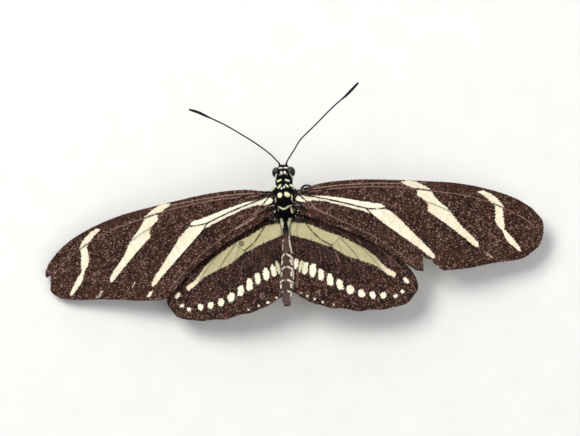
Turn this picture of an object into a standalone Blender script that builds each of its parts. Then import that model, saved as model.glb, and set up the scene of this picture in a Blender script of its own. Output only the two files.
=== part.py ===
"""A life-size zebra longwing butterfly that stands on four legs with its wings spread.

Every size below is in millimetres, in the body's own frame: X to its right, Y forward and
Z up, with the middle of the thorax at the origin. The meshes turn to metres as they are made.
"""
import math

import bpy
from mathutils import Vector
from mathutils.geometry import delaunay_2d_cdt

MM = 0.001
GAP = 0.3
SIDES = {"left": -1, "right": 1}

# The stance
BODY_HEIGHT = 9.0
BODY_PITCH = math.radians(4.0)

# Thorax and abdomen: distance along the body, half width, height of the back, depth of the belly
THORAX = [
    (3.05, 1.60, 0.90, 1.00),
    (2.75, 1.56, 1.00, 1.12),
    (2.20, 1.52, 1.26, 1.44),
    (1.40, 1.60, 1.66, 1.80),
    (0.40, 1.68, 1.95, 2.10),
    (-0.80, 1.70, 2.02, 2.20),
    (-1.70, 1.64, 1.92, 2.08),
    (-2.40, 1.54, 1.70, 1.86),
    (-3.20, 1.36, 1.32, 1.52),
    (-3.90, 1.16, 0.92, 1.12),
    (-4.30, 1.00, 0.66, 0.82),
]
THORAX_SQUARENESS = 2.3
ABDOMEN = [
    (-4.60, 0.88, 0.54, 0.60),
    (-5.40, 0.64, 0.56, 0.60),
    (-7.35, 0.70, 0.72, 0.72),
    (-9.95, 0.95, 0.97, 0.97),
    (-12.40, 1.22, 1.25, 1.25),
    (-14.70, 1.38, 1.43, 1.43),
    (-16.65, 1.22, 1.30, 1.30),
    (-18.20, 0.80, 0.83, 0.83),
    (-18.90, 0.54, 0.52, 0.52),
]
# The abdomen's middle line sags towards the tip and leans sideways: place along, shift to the right
ABDOMEN_SAG = 0.0062
ABDOMEN_LEAN = [(-4.60, 0.0), (-7.35, 0.06), (-9.95, 0.12), (-12.40, 0.07), (-14.70, -0.14), (-16.65, -0.30),
                (-18.90, -0.34)]
ABDOMEN_SWELL = ((0.0, -0.07), (0.25, 0.01), (0.60, 0.04), (0.92, 0.04))
BODY_SIDES = 24

# Head, eyes and mouthparts
HEAD_CENTRE = (0.0, 4.40, 0.0)
HEAD_RADII = (1.20, 1.25, 1.20)
HEAD_BACK = 3.36
HEAD_CHEEK = 0.80
EYE_RADII = (0.98, 0.95, 1.08)
EYE_HEIGHT = 0.15
PALP = [(0.45, 4.75, -1.34), (0.45, 4.95, -1.65), (0.46, 5.45, -1.60), (0.47, 5.84, -1.10),
        (0.47, 6.00, -0.40), (0.45, 6.00, 0.20)]
PALP_RADII = [0.26, 0.27, 0.30, 0.28, 0.22, 0.12]
TONGUE_ROOT = [(0.0, 4.05, -1.52), (0.0, 4.00, -2.10)]
TONGUE_CENTRE = (4.85, -2.80)
TONGUE_TURN = math.radians(405.0)
TONGUE_COIL = (0.85, 0.28)
TONGUE_RADII = (0.26, 0.16)

# Antennae, swung forward and out, each with its long club
ANTENNA = {
    "left": [(-0.45, 5.72, 1.12), (-2.1, 7.5, 2.0), (-4.5, 9.4, 2.7), (-6.5, 10.75, 3.3),
             (-9.4, 12.6, 3.9), (-12.0, 13.95, 4.5), (-14.0, 14.95, 5.05), (-15.6, 15.5, 5.6)],
    "right": [(0.55, 5.70, 1.12), (2.2, 7.9, 2.0), (3.6, 9.7, 2.7), (6.1, 11.8, 3.3),
              (8.8, 14.2, 3.9), (10.4, 15.4, 4.5), (12.2, 16.7, 5.05), (14.3, 18.6, 5.6)],
}
ANTENNA_SHAFT = 0.25
ANTENNA_CLUB = 0.34
ANTENNA_STEP = 1.1
CLUB_START = 0.78

# Legs: root on the thorax, then points down to the floor, with feet laid flat.
# The last number of each foot point is its height over the floor, not over the thorax.
LEG_FORE = [(0.62, 1.75, -2.02), (0.80, 1.55, -2.75), (0.72, 2.40, -2.75), (0.62, 3.10, -2.60),
            (0.60, 2.95, -3.15), (0.58, 2.60, -4.15)]
LEG_FORE_RADII = [0.27, 0.29, 0.29, 0.27, 0.26, 0.20]
LEG_MIDDLE = {
    "left": [(0.75, 0.55, -2.36), (1.05, -0.15, -4.00), (2.2, 0.35, -2.60), (3.45, 1.00, -1.45)],
    "right": [(0.75, 0.55, -2.36), (1.05, 0.05, -4.00), (2.3, 1.05, -2.35), (3.52, 1.95, -0.95)],
}
LEG_MIDDLE_FOOT = {
    "left": [(4.7, 1.60, 4.2), (5.9, 2.00, 0.95), (6.6, 2.10, 0.24), (8.9, 2.35, 0.20), (9.8, 2.40, 0.14)],
    "right": [(4.6, 2.55, 4.2), (5.7, 2.90, 0.95), (6.4, 3.00, 0.24), (8.7, 3.20, 0.20), (9.6, 3.20, 0.14)],
}
LEG_HIND = [(0.80, -1.75, -2.32), (1.05, -2.55, -4.00), (2.35, -3.40, -2.90), (3.75, -4.60, -1.90)]
LEG_HIND_FOOT = [(4.9, -6.20, 4.2), (6.0, -7.60, 0.95), (6.6, -8.30, 0.24), (8.2, -10.20, 0.20),
                 (8.8, -10.95, 0.14)]
LEG_RADII = [0.34, 0.36, 0.32, 0.30, 0.26, 0.25, 0.27, 0.26, 0.18]
LEG_SIDES = 8

# Wings. u runs from the hinge out to the wing tip and v forward of that line. Each pair of
# wings is turned back by its sweep, droops by its own angle and bends down towards the tip.
HINGE = (1.75, 0.6, 0.3)
FORE_SWEEP = {"left": 15.0, "right": 9.8}
HIND_SWEEP = {"left": 13.5, "right": 11.3}
DROOP = {"left": math.radians(7.0), "right": math.radians(4.0)}
BEND = 0.0013
FORE_RAISE = 0.55
HIND_RAISE = -0.55
HALF_MEMBRANE = 0.25
VEIN_HALF_WIDTH = 0.38
VEIN_TOP = 0.15
VEIN_BOTTOM = 0.10
EDGE_STEP = 0.9
VEIN_STEP = 1.8
FIELD_STEP = 2.0

FORE_LEADING = [(0.6, 0.55), (2.0, 1.15), (5.0, 2.3), (8.5, 3.2), (12.5, 3.9), (17.0, 4.4),
                (22.0, 4.9), (27.0, 5.3), (31.0, 5.25), (35.0, 4.8), (38.5, 4.0), (41.2, 2.8)]
FORE_TIP = {
    "left": [(43.0, 1.6), (44.1, 0.4), (44.3, -0.4), (44.0, -0.75), (43.6, -0.35), (43.3, -0.75),
             (43.6, -1.7), (44.1, -3.1), (43.8, -3.9), (42.6, -5.1)],
    "right": [(42.9, 1.3), (43.5, 0.2), (43.6, -1.0), (43.5, -2.4), (43.2, -3.5), (42.2, -4.6)],
}
FORE_OUTER = [(40.7, -6.0), (38.0, -6.9), (35.0, -7.8), (32.0, -8.9)]
FORE_CORNER = {
    "left": [(29.5, -9.9), (26.8, -10.8), (25.0, -11.3), (23.8, -11.4), (22.6, -10.9)],
    "right": [(29.4, -9.6), (27.6, -10.0), (26.6, -9.6), (25.9, -9.1), (25.3, -8.4), (24.4, -8.3),
              (23.7, -8.0), (23.6, -8.5), (23.8, -9.6), (24.1, -10.6), (22.8, -10.6)],
}
FORE_HIND = [(20.0, -9.2), (17.5, -7.9), (14.5, -6.7), (11.0, -5.6), (7.5, -4.8), (4.0, -4.0),
             (1.6, -3.4)]
FORE_ROOT = (1.2, -2.5)

HIND_LEADING = [(1.0, -2.1), (3.0, -2.1), (6.5, -2.6), (10.0, -3.5), (14.0, -5.0), (18.0, -7.2),
                (21.2, -9.4), (23.0, -11.2)]
HIND_OUTER = [(23.7, -12.8), (23.4, -14.3), (22.6, -15.6), (21.0, -16.8), (19.2, -17.4),
              (17.0, -18.0), (14.2, -18.6), (11.2, -18.7), (8.5, -18.8), (6.2, -18.4), (4.4, -18.0),
              (3.0, -17.2)]
HIND_INNER = [-16.6, -15.6, -14.4, -13.0, -11.5, -10.0, -8.5, -7.0, -5.8, -4.9]
HIND_ROOT = (-1.5, -4.1)

FORE_VEINS = {
    "subcosta": [(1.2, 0.25), (4.0, 1.3), (8.0, 2.35), (13.0, 3.3), (18.0, 4.0), (22.5, 4.7)],
    "radius": [(1.2, -0.1), (4.0, 0.8), (8.0, 1.8), (12.0, 2.6), (16.0, 3.1), (20.0, 3.4), (24.0, 3.45),
               (28.0, 3.5), (32.0, 3.2), (36.0, 2.3), (40.0, 0.9), (43.1, -0.9)],
    "radius_1": [(15.0, 3.0), (19.0, 3.8), (24.0, 4.5), (28.0, 5.1)],
    "radius_2": [(27.0, 3.5), (31.0, 4.0), (35.0, 4.2), (37.0, 4.2)],
    "radius_3": [(33.5, 2.9), (37.0, 2.75), (40.0, 2.55), (41.5, 2.3)],
    "cell_end": [(17.2, 3.2), (17.4, 2.1), (16.9, 1.0), (16.3, -0.6), (14.7, -0.95), (12.9, -1.15)],
    "media_1": [(17.3, 2.1), (20.5, 1.9), (23.7, 1.3), (27.4, 0.3), (32.0, -1.1), (37.0, -3.4), (40.8, -5.7)],
    "media_2": [(16.9, 1.0), (20.5, 0.3), (23.7, -0.4), (26.4, -1.9), (30.6, -4.5), (33.0, -6.2), (35.2, -7.5)],
    "media_3": [(16.3, -0.6), (20.0, -1.3), (24.0, -3.6), (28.0, -6.8), (31.0, -9.0)],
    "cubitus": [(1.2, -0.5), (4.0, -0.5), (6.5, -0.55), (9.5, -0.8), (12.9, -1.15)],
    "cubitus_1": [(14.7, -0.95), (17.0, -1.25), (19.0, -2.4), (21.8, -4.6), (24.5, -7.0), (27.0, -9.6)],
    "cubitus_2": [(12.9, -1.15), (14.6, -2.5), (18.0, -4.5), (21.5, -6.6), (23.3, -8.0)],
    "anal": [(1.3, -1.9), (3.5, -2.3), (7.0, -3.3), (11.0, -4.5), (16.0, -6.3), (20.0, -8.4), (22.6, -10.1)],
}
HIND_VEINS = {
    "costa": [(1.2, -2.7), (4.0, -2.9), (8.0, -3.6), (14.0, -6.0), (19.5, -9.4), (23.0, -12.4)],
    "radius": [(1.2, -3.2), (4.0, -3.8), (8.0, -5.1), (9.5, -5.7), (14.0, -8.2), (18.0, -11.6), (20.9, -14.5),
               (22.2, -15.6)],
    "cell_end": [(9.5, -5.7), (9.1, -6.4), (8.6, -7.1), (7.9, -8.0)],
    "media_1": [(9.1, -6.4), (12.5, -9.2), (15.3, -12.6), (17.2, -15.4), (18.3, -17.3)],
    "media_2": [(8.6, -7.1), (10.8, -10.2), (12.4, -13.0), (13.4, -15.4), (14.2, -18.1)],
    "media_3": [(7.9, -8.0), (8.8, -11.0), (9.4, -14.4), (9.8, -18.3)],
    "cubitus": [(1.0, -3.7), (2.6, -4.5), (4.2, -5.8), (5.9, -7.2), (7.9, -8.0)],
    "cubitus_1": [(5.9, -7.2), (6.3, -10.5), (6.2, -13.5), (6.3, -18.0)],
    "cubitus_2": [(4.2, -5.8), (3.9, -9.0), (3.6, -12.8), (3.5, -16.9)],
}

COLOURS = {
    "body": ((0.012, 0.010, 0.009), 0.55),
    "abdomen": ((0.115, 0.070, 0.066), 0.60),
    "eye": ((0.016, 0.014, 0.015), 0.22),
    "wing": ((0.040, 0.024, 0.021), 0.70),
    "limb": ((0.014, 0.011, 0.011), 0.45),
}

pieces = []


def clear_scene():
    for thing in list(bpy.data.objects):
        bpy.data.objects.remove(thing, do_unlink=True)


def material(name):
    colour, roughness = COLOURS[name]
    made = bpy.data.materials.get(name) or bpy.data.materials.new(name)
    made.use_nodes = True
    shader = made.node_tree.nodes["Principled BSDF"]
    shader.inputs["Base Color"].default_value = (*colour, 1.0)
    shader.inputs["Roughness"].default_value = roughness
    shader.inputs["Metallic"].default_value = 0.0
    return made


def to_world(point):
    """Tip a point of the body's frame by the pitch and lift it to the standing height."""
    x, y, z = point
    along = y * math.cos(BODY_PITCH) - z * math.sin(BODY_PITCH)
    up = y * math.sin(BODY_PITCH) + z * math.cos(BODY_PITCH)
    return Vector((x, along, up + BODY_HEIGHT))


def add_piece(name, points, faces, colour):
    """Keep one closed mesh, in world millimetres, until the whole model can be centred."""
    pieces.append((name, [Vector(point) for point in points], faces, colour))


def between(stations, y):
    """The sizes that a body's table gives for a place along it."""
    for ahead, behind in zip(stations, stations[1:]):
        if ahead[0] >= y >= behind[0]:
            share = (ahead[0] - y) / (ahead[0] - behind[0])
            return [a + (b - a) * share for a, b in zip(ahead[1:], behind[1:])]
    nearest = stations[0] if y > stations[0][0] else stations[-1]
    return list(nearest[1:])


def thorax_side(y, z):
    half, back, belly = between(THORAX, y)
    reach = min(abs(z) / (back if z > 0 else belly), 1.0)
    return half * (1.0 - reach ** THORAX_SQUARENESS) ** (1.0 / THORAX_SQUARENESS)


def smooth_line(points, step, closed=False):
    """Points about a step apart on a Catmull-Rom curve through the points given."""
    points = [Vector(point) for point in points]
    count = len(points)
    spans = count if closed else count - 1
    made = []
    for index in range(spans):
        if closed:
            before, here, there, after = (points[(index + shift) % count] for shift in (-1, 0, 1, 2))
        else:
            here, there = points[index], points[index + 1]
            before = points[index - 1] if index else here * 2 - there
            after = points[index + 2] if index + 2 < count else there * 2 - here
        pieces_here = max(1, round((there - here).length / step))
        for part in range(pieces_here):
            t = part / pieces_here
            made.append(0.5 * (2 * here + (there - before) * t
                               + (2 * before - 5 * here + 4 * there - after) * t * t
                               + (3 * here - before - 3 * there + after) * t ** 3))
    if not closed:
        made.append(points[-1])
    return made


def loft(rings):
    """Close a row of rings, with equal counts of points, into a mesh with flat ends."""
    sides = len(rings[0])
    points = [point for ring in rings for point in ring]
    faces = []
    for row in range(len(rings) - 1):
        for side in range(sides):
            after = (side + 1) % sides
            base, top = row * sides, (row + 1) * sides
            faces.append((base + side, base + after, top + after, top + side))
    faces.append(tuple(reversed(range(sides))))
    last = (len(rings) - 1) * sides
    faces.append(tuple(range(last, last + sides)))
    return points, faces


def turned_out(points, faces):
    """Faces in the order that makes them look out of the body."""
    volume = 0.0
    for face in faces:
        first = points[face[0]]
        for second, third in zip(face[1:], face[2:]):
            volume += first.dot(points[second].cross(points[third]))
    return faces if volume > 0 else [tuple(reversed(face)) for face in faces]


def body_ring(size, y, middle, squareness):
    """One cross section of the body, a rounded oval whose back and belly may differ."""
    half, back, belly = size
    ring = []
    for side in range(BODY_SIDES):
        angle = 2 * math.pi * side / BODY_SIDES
        across, up = math.cos(angle), math.sin(angle)
        power = 2.0 / squareness
        x = half * math.copysign(abs(across) ** power, across)
        height = back if up > 0 else belly
        z = height * math.copysign(abs(up) ** power, up)
        ring.append(to_world((middle[0] + x, y, middle[1] + z)))
    return ring


def make_thorax():
    rings = [body_ring(size, y, (0.0, 0.0), THORAX_SQUARENESS) for y, *size in THORAX]
    points, faces = loft(rings)
    add_piece("thorax", points, turned_out(points, faces), "body")


def abdomen_middle(y):
    """Sideways place and height of the abdomen's middle line."""
    run = ABDOMEN[0][0] - y
    return between(ABDOMEN_LEAN, y)[0], -ABDOMEN_SAG * run * run


def make_abdomen():
    """Each segment is a little wider at its rear edge than where the next one starts."""
    rings = []
    for ahead, behind in zip(ABDOMEN, ABDOMEN[1:]):
        length = ahead[0] - behind[0]
        for share, swell in ABDOMEN_SWELL:
            y = ahead[0] - length * share
            if not rings:
                swell = 0.0
            size = [reach + swell for reach in between(ABDOMEN, y)]
            rings.append(body_ring(size, y, abdomen_middle(y), 2.0))
    y, *size = ABDOMEN[-1]
    rings.append(body_ring(size, y, abdomen_middle(y), 2.0))
    points, faces = loft(rings)
    add_piece("abdomen", points, turned_out(points, faces), "abdomen")


def make_head():
    """An ellipsoid cut flat at the neck, with a flat cheek under each eye."""
    across, along, high = HEAD_RADII
    start = math.acos((HEAD_CENTRE[1] - HEAD_BACK) / along)
    rows = 9
    rings = []
    for row in range(rows):
        angle = start + (math.pi - 0.12 - start) * row / (rows - 1)
        y = HEAD_CENTRE[1] - along * math.cos(angle)
        size = math.sin(angle)
        ring = []
        for side in range(BODY_SIDES):
            turn = 2 * math.pi * side / BODY_SIDES
            x = max(-HEAD_CHEEK, min(HEAD_CHEEK, across * size * math.cos(turn)))
            ring.append(to_world((x, y, HEAD_CENTRE[2] + high * size * math.sin(turn))))
        rings.append(ring)
    points, faces = loft(rings)
    add_piece("head", points, turned_out(points, faces), "body")


def make_eye(name, side):
    """A dome that faces the flat cheek across the gap."""
    inner = HEAD_CHEEK + GAP
    rings = []
    for row in range(6):
        angle = math.radians(80.0) * row / 5
        x = inner + EYE_RADII[0] * math.sin(angle)
        size = math.cos(angle)
        ring = []
        for step in range(16):
            turn = 2 * math.pi * step / 16
            y = HEAD_CENTRE[1] + EYE_RADII[1] * size * math.cos(turn)
            ring.append(to_world((side * x, y, EYE_HEIGHT + EYE_RADII[2] * size * math.sin(turn))))
        rings.append(ring)
    points, faces = loft(rings)
    add_piece("eye_" + name, points, turned_out(points, faces), "eye")


def tube(path, radii, sides, lowest=None):
    """A round bar along a path in world millimetres, flattened where it lies on the floor."""
    rings = []
    across = Vector((1.0, 0.0, 0.0))
    for index, point in enumerate(path):
        ahead = path[min(index + 1, len(path) - 1)]
        behind = path[max(index - 1, 0)]
        along = (ahead - behind).normalized()
        across = (across - along * across.dot(along)).normalized()
        up = along.cross(across)
        ring = []
        for side in range(sides):
            angle = 2 * math.pi * (side + 0.5) / sides
            offset = across * math.cos(angle) + up * math.sin(angle)
            spot = point + offset * radii[index]
            if lowest is not None:
                spot.z = max(spot.z, lowest)
            ring.append(spot)
        rings.append(ring)
    points, faces = loft(rings)
    return points, turned_out(points, faces)


def eased(values, count):
    """Values stretched over a count of places."""
    made = []
    for index in range(count):
        place = index * (len(values) - 1) / (count - 1)
        low = min(int(place), len(values) - 2)
        made.append(values[low] + (values[low + 1] - values[low]) * (place - low))
    return made


def make_antenna(name):
    path = smooth_line([to_world(point) for point in ANTENNA[name]], ANTENNA_STEP)
    radii = []
    for index in range(len(path)):
        share = index / (len(path) - 1)
        club = max(0.0, min(1.0, (share - CLUB_START) / (1.0 - CLUB_START)))
        swell = math.sin(math.pi * min(club * 0.8, 1.0)) if club else 0.0
        radii.append(ANTENNA_SHAFT + (ANTENNA_CLUB - ANTENNA_SHAFT) * swell)
    radii[-1] = ANTENNA_SHAFT * 0.8
    points, faces = tube(path, radii, LEG_SIDES)
    add_piece("antenna_" + name, points, faces, "limb")


def make_palp(name, side):
    path = smooth_line([to_world((side * x, y, z)) for x, y, z in PALP], 0.4)
    points, faces = tube(path, eased(PALP_RADII, len(path)), LEG_SIDES)
    add_piece("palp_" + name, points, faces, "limb")


def make_proboscis():
    """The tongue hangs from the mouth and rolls up in one flat coil."""
    steps = 22
    path = [to_world(point) for point in TONGUE_ROOT]
    for step in range(steps + 1):
        share = step / steps
        radius = TONGUE_COIL[0] + (TONGUE_COIL[1] - TONGUE_COIL[0]) * share
        angle = math.pi + TONGUE_TURN * share
        y = TONGUE_CENTRE[0] + radius * math.cos(angle)
        z = TONGUE_CENTRE[1] + radius * math.sin(angle)
        path.append(to_world((0.0, y, z)))
    points, faces = tube(path, eased(TONGUE_RADII, len(path)), LEG_SIDES)
    add_piece("proboscis", points, faces, "limb")


def leg_path(upper, foot, side):
    """Hip, thigh and knee hang from the body, shin and foot come down to the floor."""
    path = [to_world((side * x, y, z)) for x, y, z in upper]
    path += [Vector((side * x, y, z)) for x, y, z in foot]
    return path


def make_leg(name, upper, foot, radii, side):
    corners = leg_path(upper, foot, side)
    path = smooth_line(corners, 0.9)
    sizes = eased(radii, len(corners))
    lengths = [0.0]
    for here, there in zip(corners, corners[1:]):
        lengths.append(lengths[-1] + (there - here).length)
    thick = []
    run = 0.0
    for index, point in enumerate(path):
        if index:
            run += (point - path[index - 1]).length
        place = min(run / lengths[-1], 1.0) * lengths[-1]
        span = max(i for i in range(len(lengths) - 1) if lengths[i] <= place)
        share = (place - lengths[span]) / (lengths[span + 1] - lengths[span])
        thick.append(sizes[span] + (sizes[span + 1] - sizes[span]) * min(share, 1.0))
    points, faces = tube(path, thick, LEG_SIDES, lowest=0.0)
    add_piece(name, points, faces, "limb")


def swept(u, v, degrees):
    """Turn a point of the wing's outline back by the sweep, to distances across and along."""
    turn = math.radians(degrees)
    p = u * math.cos(turn) + v * math.sin(turn)
    q = -u * math.sin(turn) + v * math.cos(turn)
    return p + HINGE[0], q + HINGE[1]


def wing_height(x, droop):
    """The middle surface that both wings of a side share: level along the body, bent down outwards."""
    out = x - HINGE[0]
    return HINGE[2] - math.tan(droop) * out - BEND * out * out


def abdomen_limit(name, y):
    """How near to the body's middle plane a hindwing may come beside the leaning abdomen."""
    half = between(ABDOMEN, y)[0] + ABDOMEN_SWELL[-1][1]
    return half + SIDES[name] * abdomen_middle(y)[0] + GAP


def fore_outline(name):
    degrees = FORE_SWEEP[name]
    line = smooth_line([Vector(point) for point in FORE_LEADING], EDGE_STEP)
    line += [Vector(point) for point in FORE_TIP[name] + FORE_OUTER + FORE_CORNER[name]]
    line += smooth_line([Vector(point) for point in FORE_HIND], EDGE_STEP)
    outline = [swept(point.x, point.y, degrees) for point in line]
    steps = 4
    front, rear = FORE_ROOT
    near = FORE_RAISE + HINGE[2] - HALF_MEMBRANE - VEIN_BOTTOM
    for step in range(steps + 1):
        y = rear + (front - rear) * step / steps
        outline.append((thorax_side(y, near) + GAP, y))
    return outline


def hind_outline(name):
    degrees = HIND_SWEEP[name]
    line = smooth_line([Vector(point) for point in HIND_LEADING + HIND_OUTER], EDGE_STEP)
    outline = []
    for point in line:
        x, y = swept(point.x, point.y, degrees)
        if x > abdomen_limit(name, y) or y > HIND_ROOT[0]:
            outline.append((max(x, 0.0), y))
    outline += [(abdomen_limit(name, y), y) for y in HIND_INNER if y > outline[-1][1] + 0.4]
    steps = 3
    front, rear = HIND_ROOT
    for step in range(steps + 1):
        y = rear + (front - rear) * step / steps
        outline.append((thorax_side(y, 0.0) + GAP, y))
    return outline


def thinned(outline, least):
    """Drop points that crowd the one before."""
    kept = [outline[0]]
    for point in outline[1:]:
        if (Vector(point) - Vector(kept[-1])).length > least:
            kept.append(point)
    while (Vector(kept[0]) - Vector(kept[-1])).length < least:
        kept.pop()
    return kept


def distance_to(point, line):
    """Distance from a point to a chain of straight pieces."""
    best = float("inf")
    for here, there in zip(line, line[1:]):
        along = there - here
        share = max(0.0, min(1.0, (point - here).dot(along) / along.length_squared))
        best = min(best, (point - here - along * share).length)
    return best


def inside(point, outline):
    x, y = point
    found = False
    for (ax, ay), (bx, by) in zip(outline, outline[1:] + outline[:1]):
        if (ay > y) != (by > y) and x < ax + (y - ay) / (by - ay) * (bx - ax):
            found = not found
    return found


def wing_layout(outline, veins):
    """Points and lines that the triangles keep: the edge, each vein's crest and feet, and the fields."""
    ring = [Vector(point) for point in outline]
    edge = ring + ring[:1]
    points = list(ring)
    lines = []
    crests = [[Vector(point) for point in vein] for vein in veins]
    for number, crest in enumerate(crests):
        others = crests[:number] + crests[number + 1:]
        for shift in (0.0, VEIN_HALF_WIDTH, -VEIN_HALF_WIDTH):
            last = None
            for index, spot in enumerate(crest):
                ahead = crest[min(index + 1, len(crest) - 1)]
                behind = crest[max(index - 1, 0)]
                along = (ahead - behind).normalized()
                place = spot + Vector((-along.y, along.x)) * shift
                near = min((distance_to(place, other) for other in others), default=9.0)
                clear = VEIN_HALF_WIDTH * 1.05 if shift else 0.05
                if near < clear or not inside(place, outline) or distance_to(place, edge) < 0.25:
                    last = None
                    continue
                points.append(place)
                if last is not None:
                    lines.append((last, len(points) - 1))
                last = len(points) - 1
    left = min(point.x for point in ring)
    right = max(point.x for point in ring)
    low = min(point.y for point in ring)
    high = max(point.y for point in ring)
    row = 0
    y = low
    while y < high:
        x = left + (row % 2) * FIELD_STEP / 2
        while x < right:
            place = Vector((x, y))
            away = min(distance_to(place, crest) for crest in crests)
            if inside(place, outline) and away > VEIN_HALF_WIDTH * 2 and distance_to(place, edge) > 0.6:
                points.append(place)
            x += FIELD_STEP
        y += FIELD_STEP * 0.87
        row += 1
    return points, lines, list(range(len(ring)))


def make_wing(node, name, outline, veins, degrees, raise_by):
    """Both faces of the membrane carry the same triangles, so that the curved vane stays whole."""
    side = SIDES[name]
    crests = []
    for vein in veins.values():
        line = smooth_line([Vector(point) for point in vein], VEIN_STEP)
        crests.append([swept(point.x, point.y, degrees) for point in line])
    points, lines, ring = wing_layout(thinned(outline, 0.3), crests)
    flat, _, triangles, *_ = delaunay_2d_cdt(points, lines, [ring], 1, 0.001)
    crests = [[Vector(point) for point in crest] for crest in crests]
    top, bottom = [], []
    for spot in flat:
        away = min(distance_to(spot, crest) for crest in crests)
        ridge = max(0.0, 1.0 - away / VEIN_HALF_WIDTH)
        middle = wing_height(spot.x, DROOP[name]) + raise_by
        top.append(to_world((side * spot.x, spot.y, middle + HALF_MEMBRANE + VEIN_TOP * ridge)))
        bottom.append(to_world((side * spot.x, spot.y, middle - HALF_MEMBRANE - VEIN_BOTTOM * ridge)))
    count = len(flat)
    faces = [tuple(triangle) for triangle in triangles]
    edges = {(face[i], face[(i + 1) % 3]) for face in faces for i in range(3)}
    walls = [(a + count, b + count, b, a) for a, b in edges if (b, a) not in edges]
    faces += [tuple(corner + count for corner in reversed(face)) for face in faces]
    faces += sorted(walls)
    points = top + bottom
    add_piece(node + "_" + name, points, turned_out(points, faces), "wing")


def make_wings(name):
    make_wing("forewing", name, fore_outline(name), FORE_VEINS, FORE_SWEEP[name], FORE_RAISE)
    make_wing("hindwing", name, hind_outline(name), HIND_VEINS, HIND_SWEEP[name], HIND_RAISE)


def make_legs(name):
    side = SIDES[name]
    make_leg("leg_fore_" + name, LEG_FORE, [], LEG_FORE_RADII, side)
    make_leg("leg_middle_" + name, LEG_MIDDLE[name], LEG_MIDDLE_FOOT[name], LEG_RADII, side)
    make_leg("leg_hind_" + name, LEG_HIND, LEG_HIND_FOOT, LEG_RADII, side)


def make_objects():
    """Centre the model over the origin and make one object for each piece."""
    everything = [point for _, points, _, _ in pieces for point in points]
    middle_x = (min(p.x for p in everything) + max(p.x for p in everything)) / 2
    middle_y = (min(p.y for p in everything) + max(p.y for p in everything)) / 2
    shift = Vector((middle_x, middle_y, 0.0))
    for name, points, faces, colour in pieces:
        mesh = bpy.data.meshes.new(name)
        mesh.from_pydata([(point - shift) * MM for point in points], [], faces)
        mesh.validate()
        mesh.materials.append(material(colour))
        mesh.shade_smooth()
        mesh.set_sharp_from_angle(angle=math.radians(40))
        made = bpy.data.objects.new(name, mesh)
        bpy.context.scene.collection.objects.link(made)


clear_scene()
make_thorax()
make_abdomen()
make_head()
make_proboscis()
for side_name, side_sign in SIDES.items():
    make_eye(side_name, side_sign)
    make_palp(side_name, side_sign)
    make_antenna(side_name)
    make_legs(side_name)
    make_wings(side_name)
make_objects()
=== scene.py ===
"""The looks of a life-size zebra longwing butterfly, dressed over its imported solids.

Sizes are in millimetres in the body's own frame: X to its right, Y forward and Z up, with the
middle of the thorax at the origin. A wing's marks and veins use its own u, outward from the
hinge, and v, forward of that line. Meshes turn to metres in the world as they are made.
"""
import math

import bpy
import numpy as np
from mathutils import Matrix, Vector
from mathutils.geometry import delaunay_2d_cdt


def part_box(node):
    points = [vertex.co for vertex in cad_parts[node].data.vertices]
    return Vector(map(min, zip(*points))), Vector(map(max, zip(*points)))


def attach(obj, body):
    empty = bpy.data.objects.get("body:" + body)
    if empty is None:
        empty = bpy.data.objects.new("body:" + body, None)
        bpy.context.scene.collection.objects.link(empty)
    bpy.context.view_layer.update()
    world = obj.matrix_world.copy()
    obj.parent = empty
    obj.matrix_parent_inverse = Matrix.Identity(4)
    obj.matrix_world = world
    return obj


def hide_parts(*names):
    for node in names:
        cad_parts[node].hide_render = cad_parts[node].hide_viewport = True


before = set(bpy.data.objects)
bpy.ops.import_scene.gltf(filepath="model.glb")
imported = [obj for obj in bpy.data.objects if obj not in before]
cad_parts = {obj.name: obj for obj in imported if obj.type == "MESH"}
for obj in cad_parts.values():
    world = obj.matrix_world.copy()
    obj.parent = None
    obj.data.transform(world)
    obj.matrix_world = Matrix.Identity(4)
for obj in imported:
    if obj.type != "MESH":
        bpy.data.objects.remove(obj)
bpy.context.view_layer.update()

MM = 0.001
SIDES = {"left": -1, "right": 1}

# The stance, and the front ring of the thorax that gives its place in the frame
BODY_HEIGHT = 9.0
BODY_PITCH = math.radians(4.0)
THORAX_FRONT = 3.05
THORAX_FRONT_BELLY = 1.00

# The camera: lean towards the right and the rear, roll, lens, and the photo's own scale
CAMERA_RIGHT = math.radians(7.0)
CAMERA_REAR = math.radians(11.0)
CAMERA_ROLL = math.radians(-1.5)
CAMERA_LENS = 150.0
SENSOR = 36.0
PHOTO_WIDTH = 580
PHOTO_MIDDLE = (290.0, 218.0)
BODY_PIXEL = (284.5, 197.0)
MM_PER_PIXEL = 0.175

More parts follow.
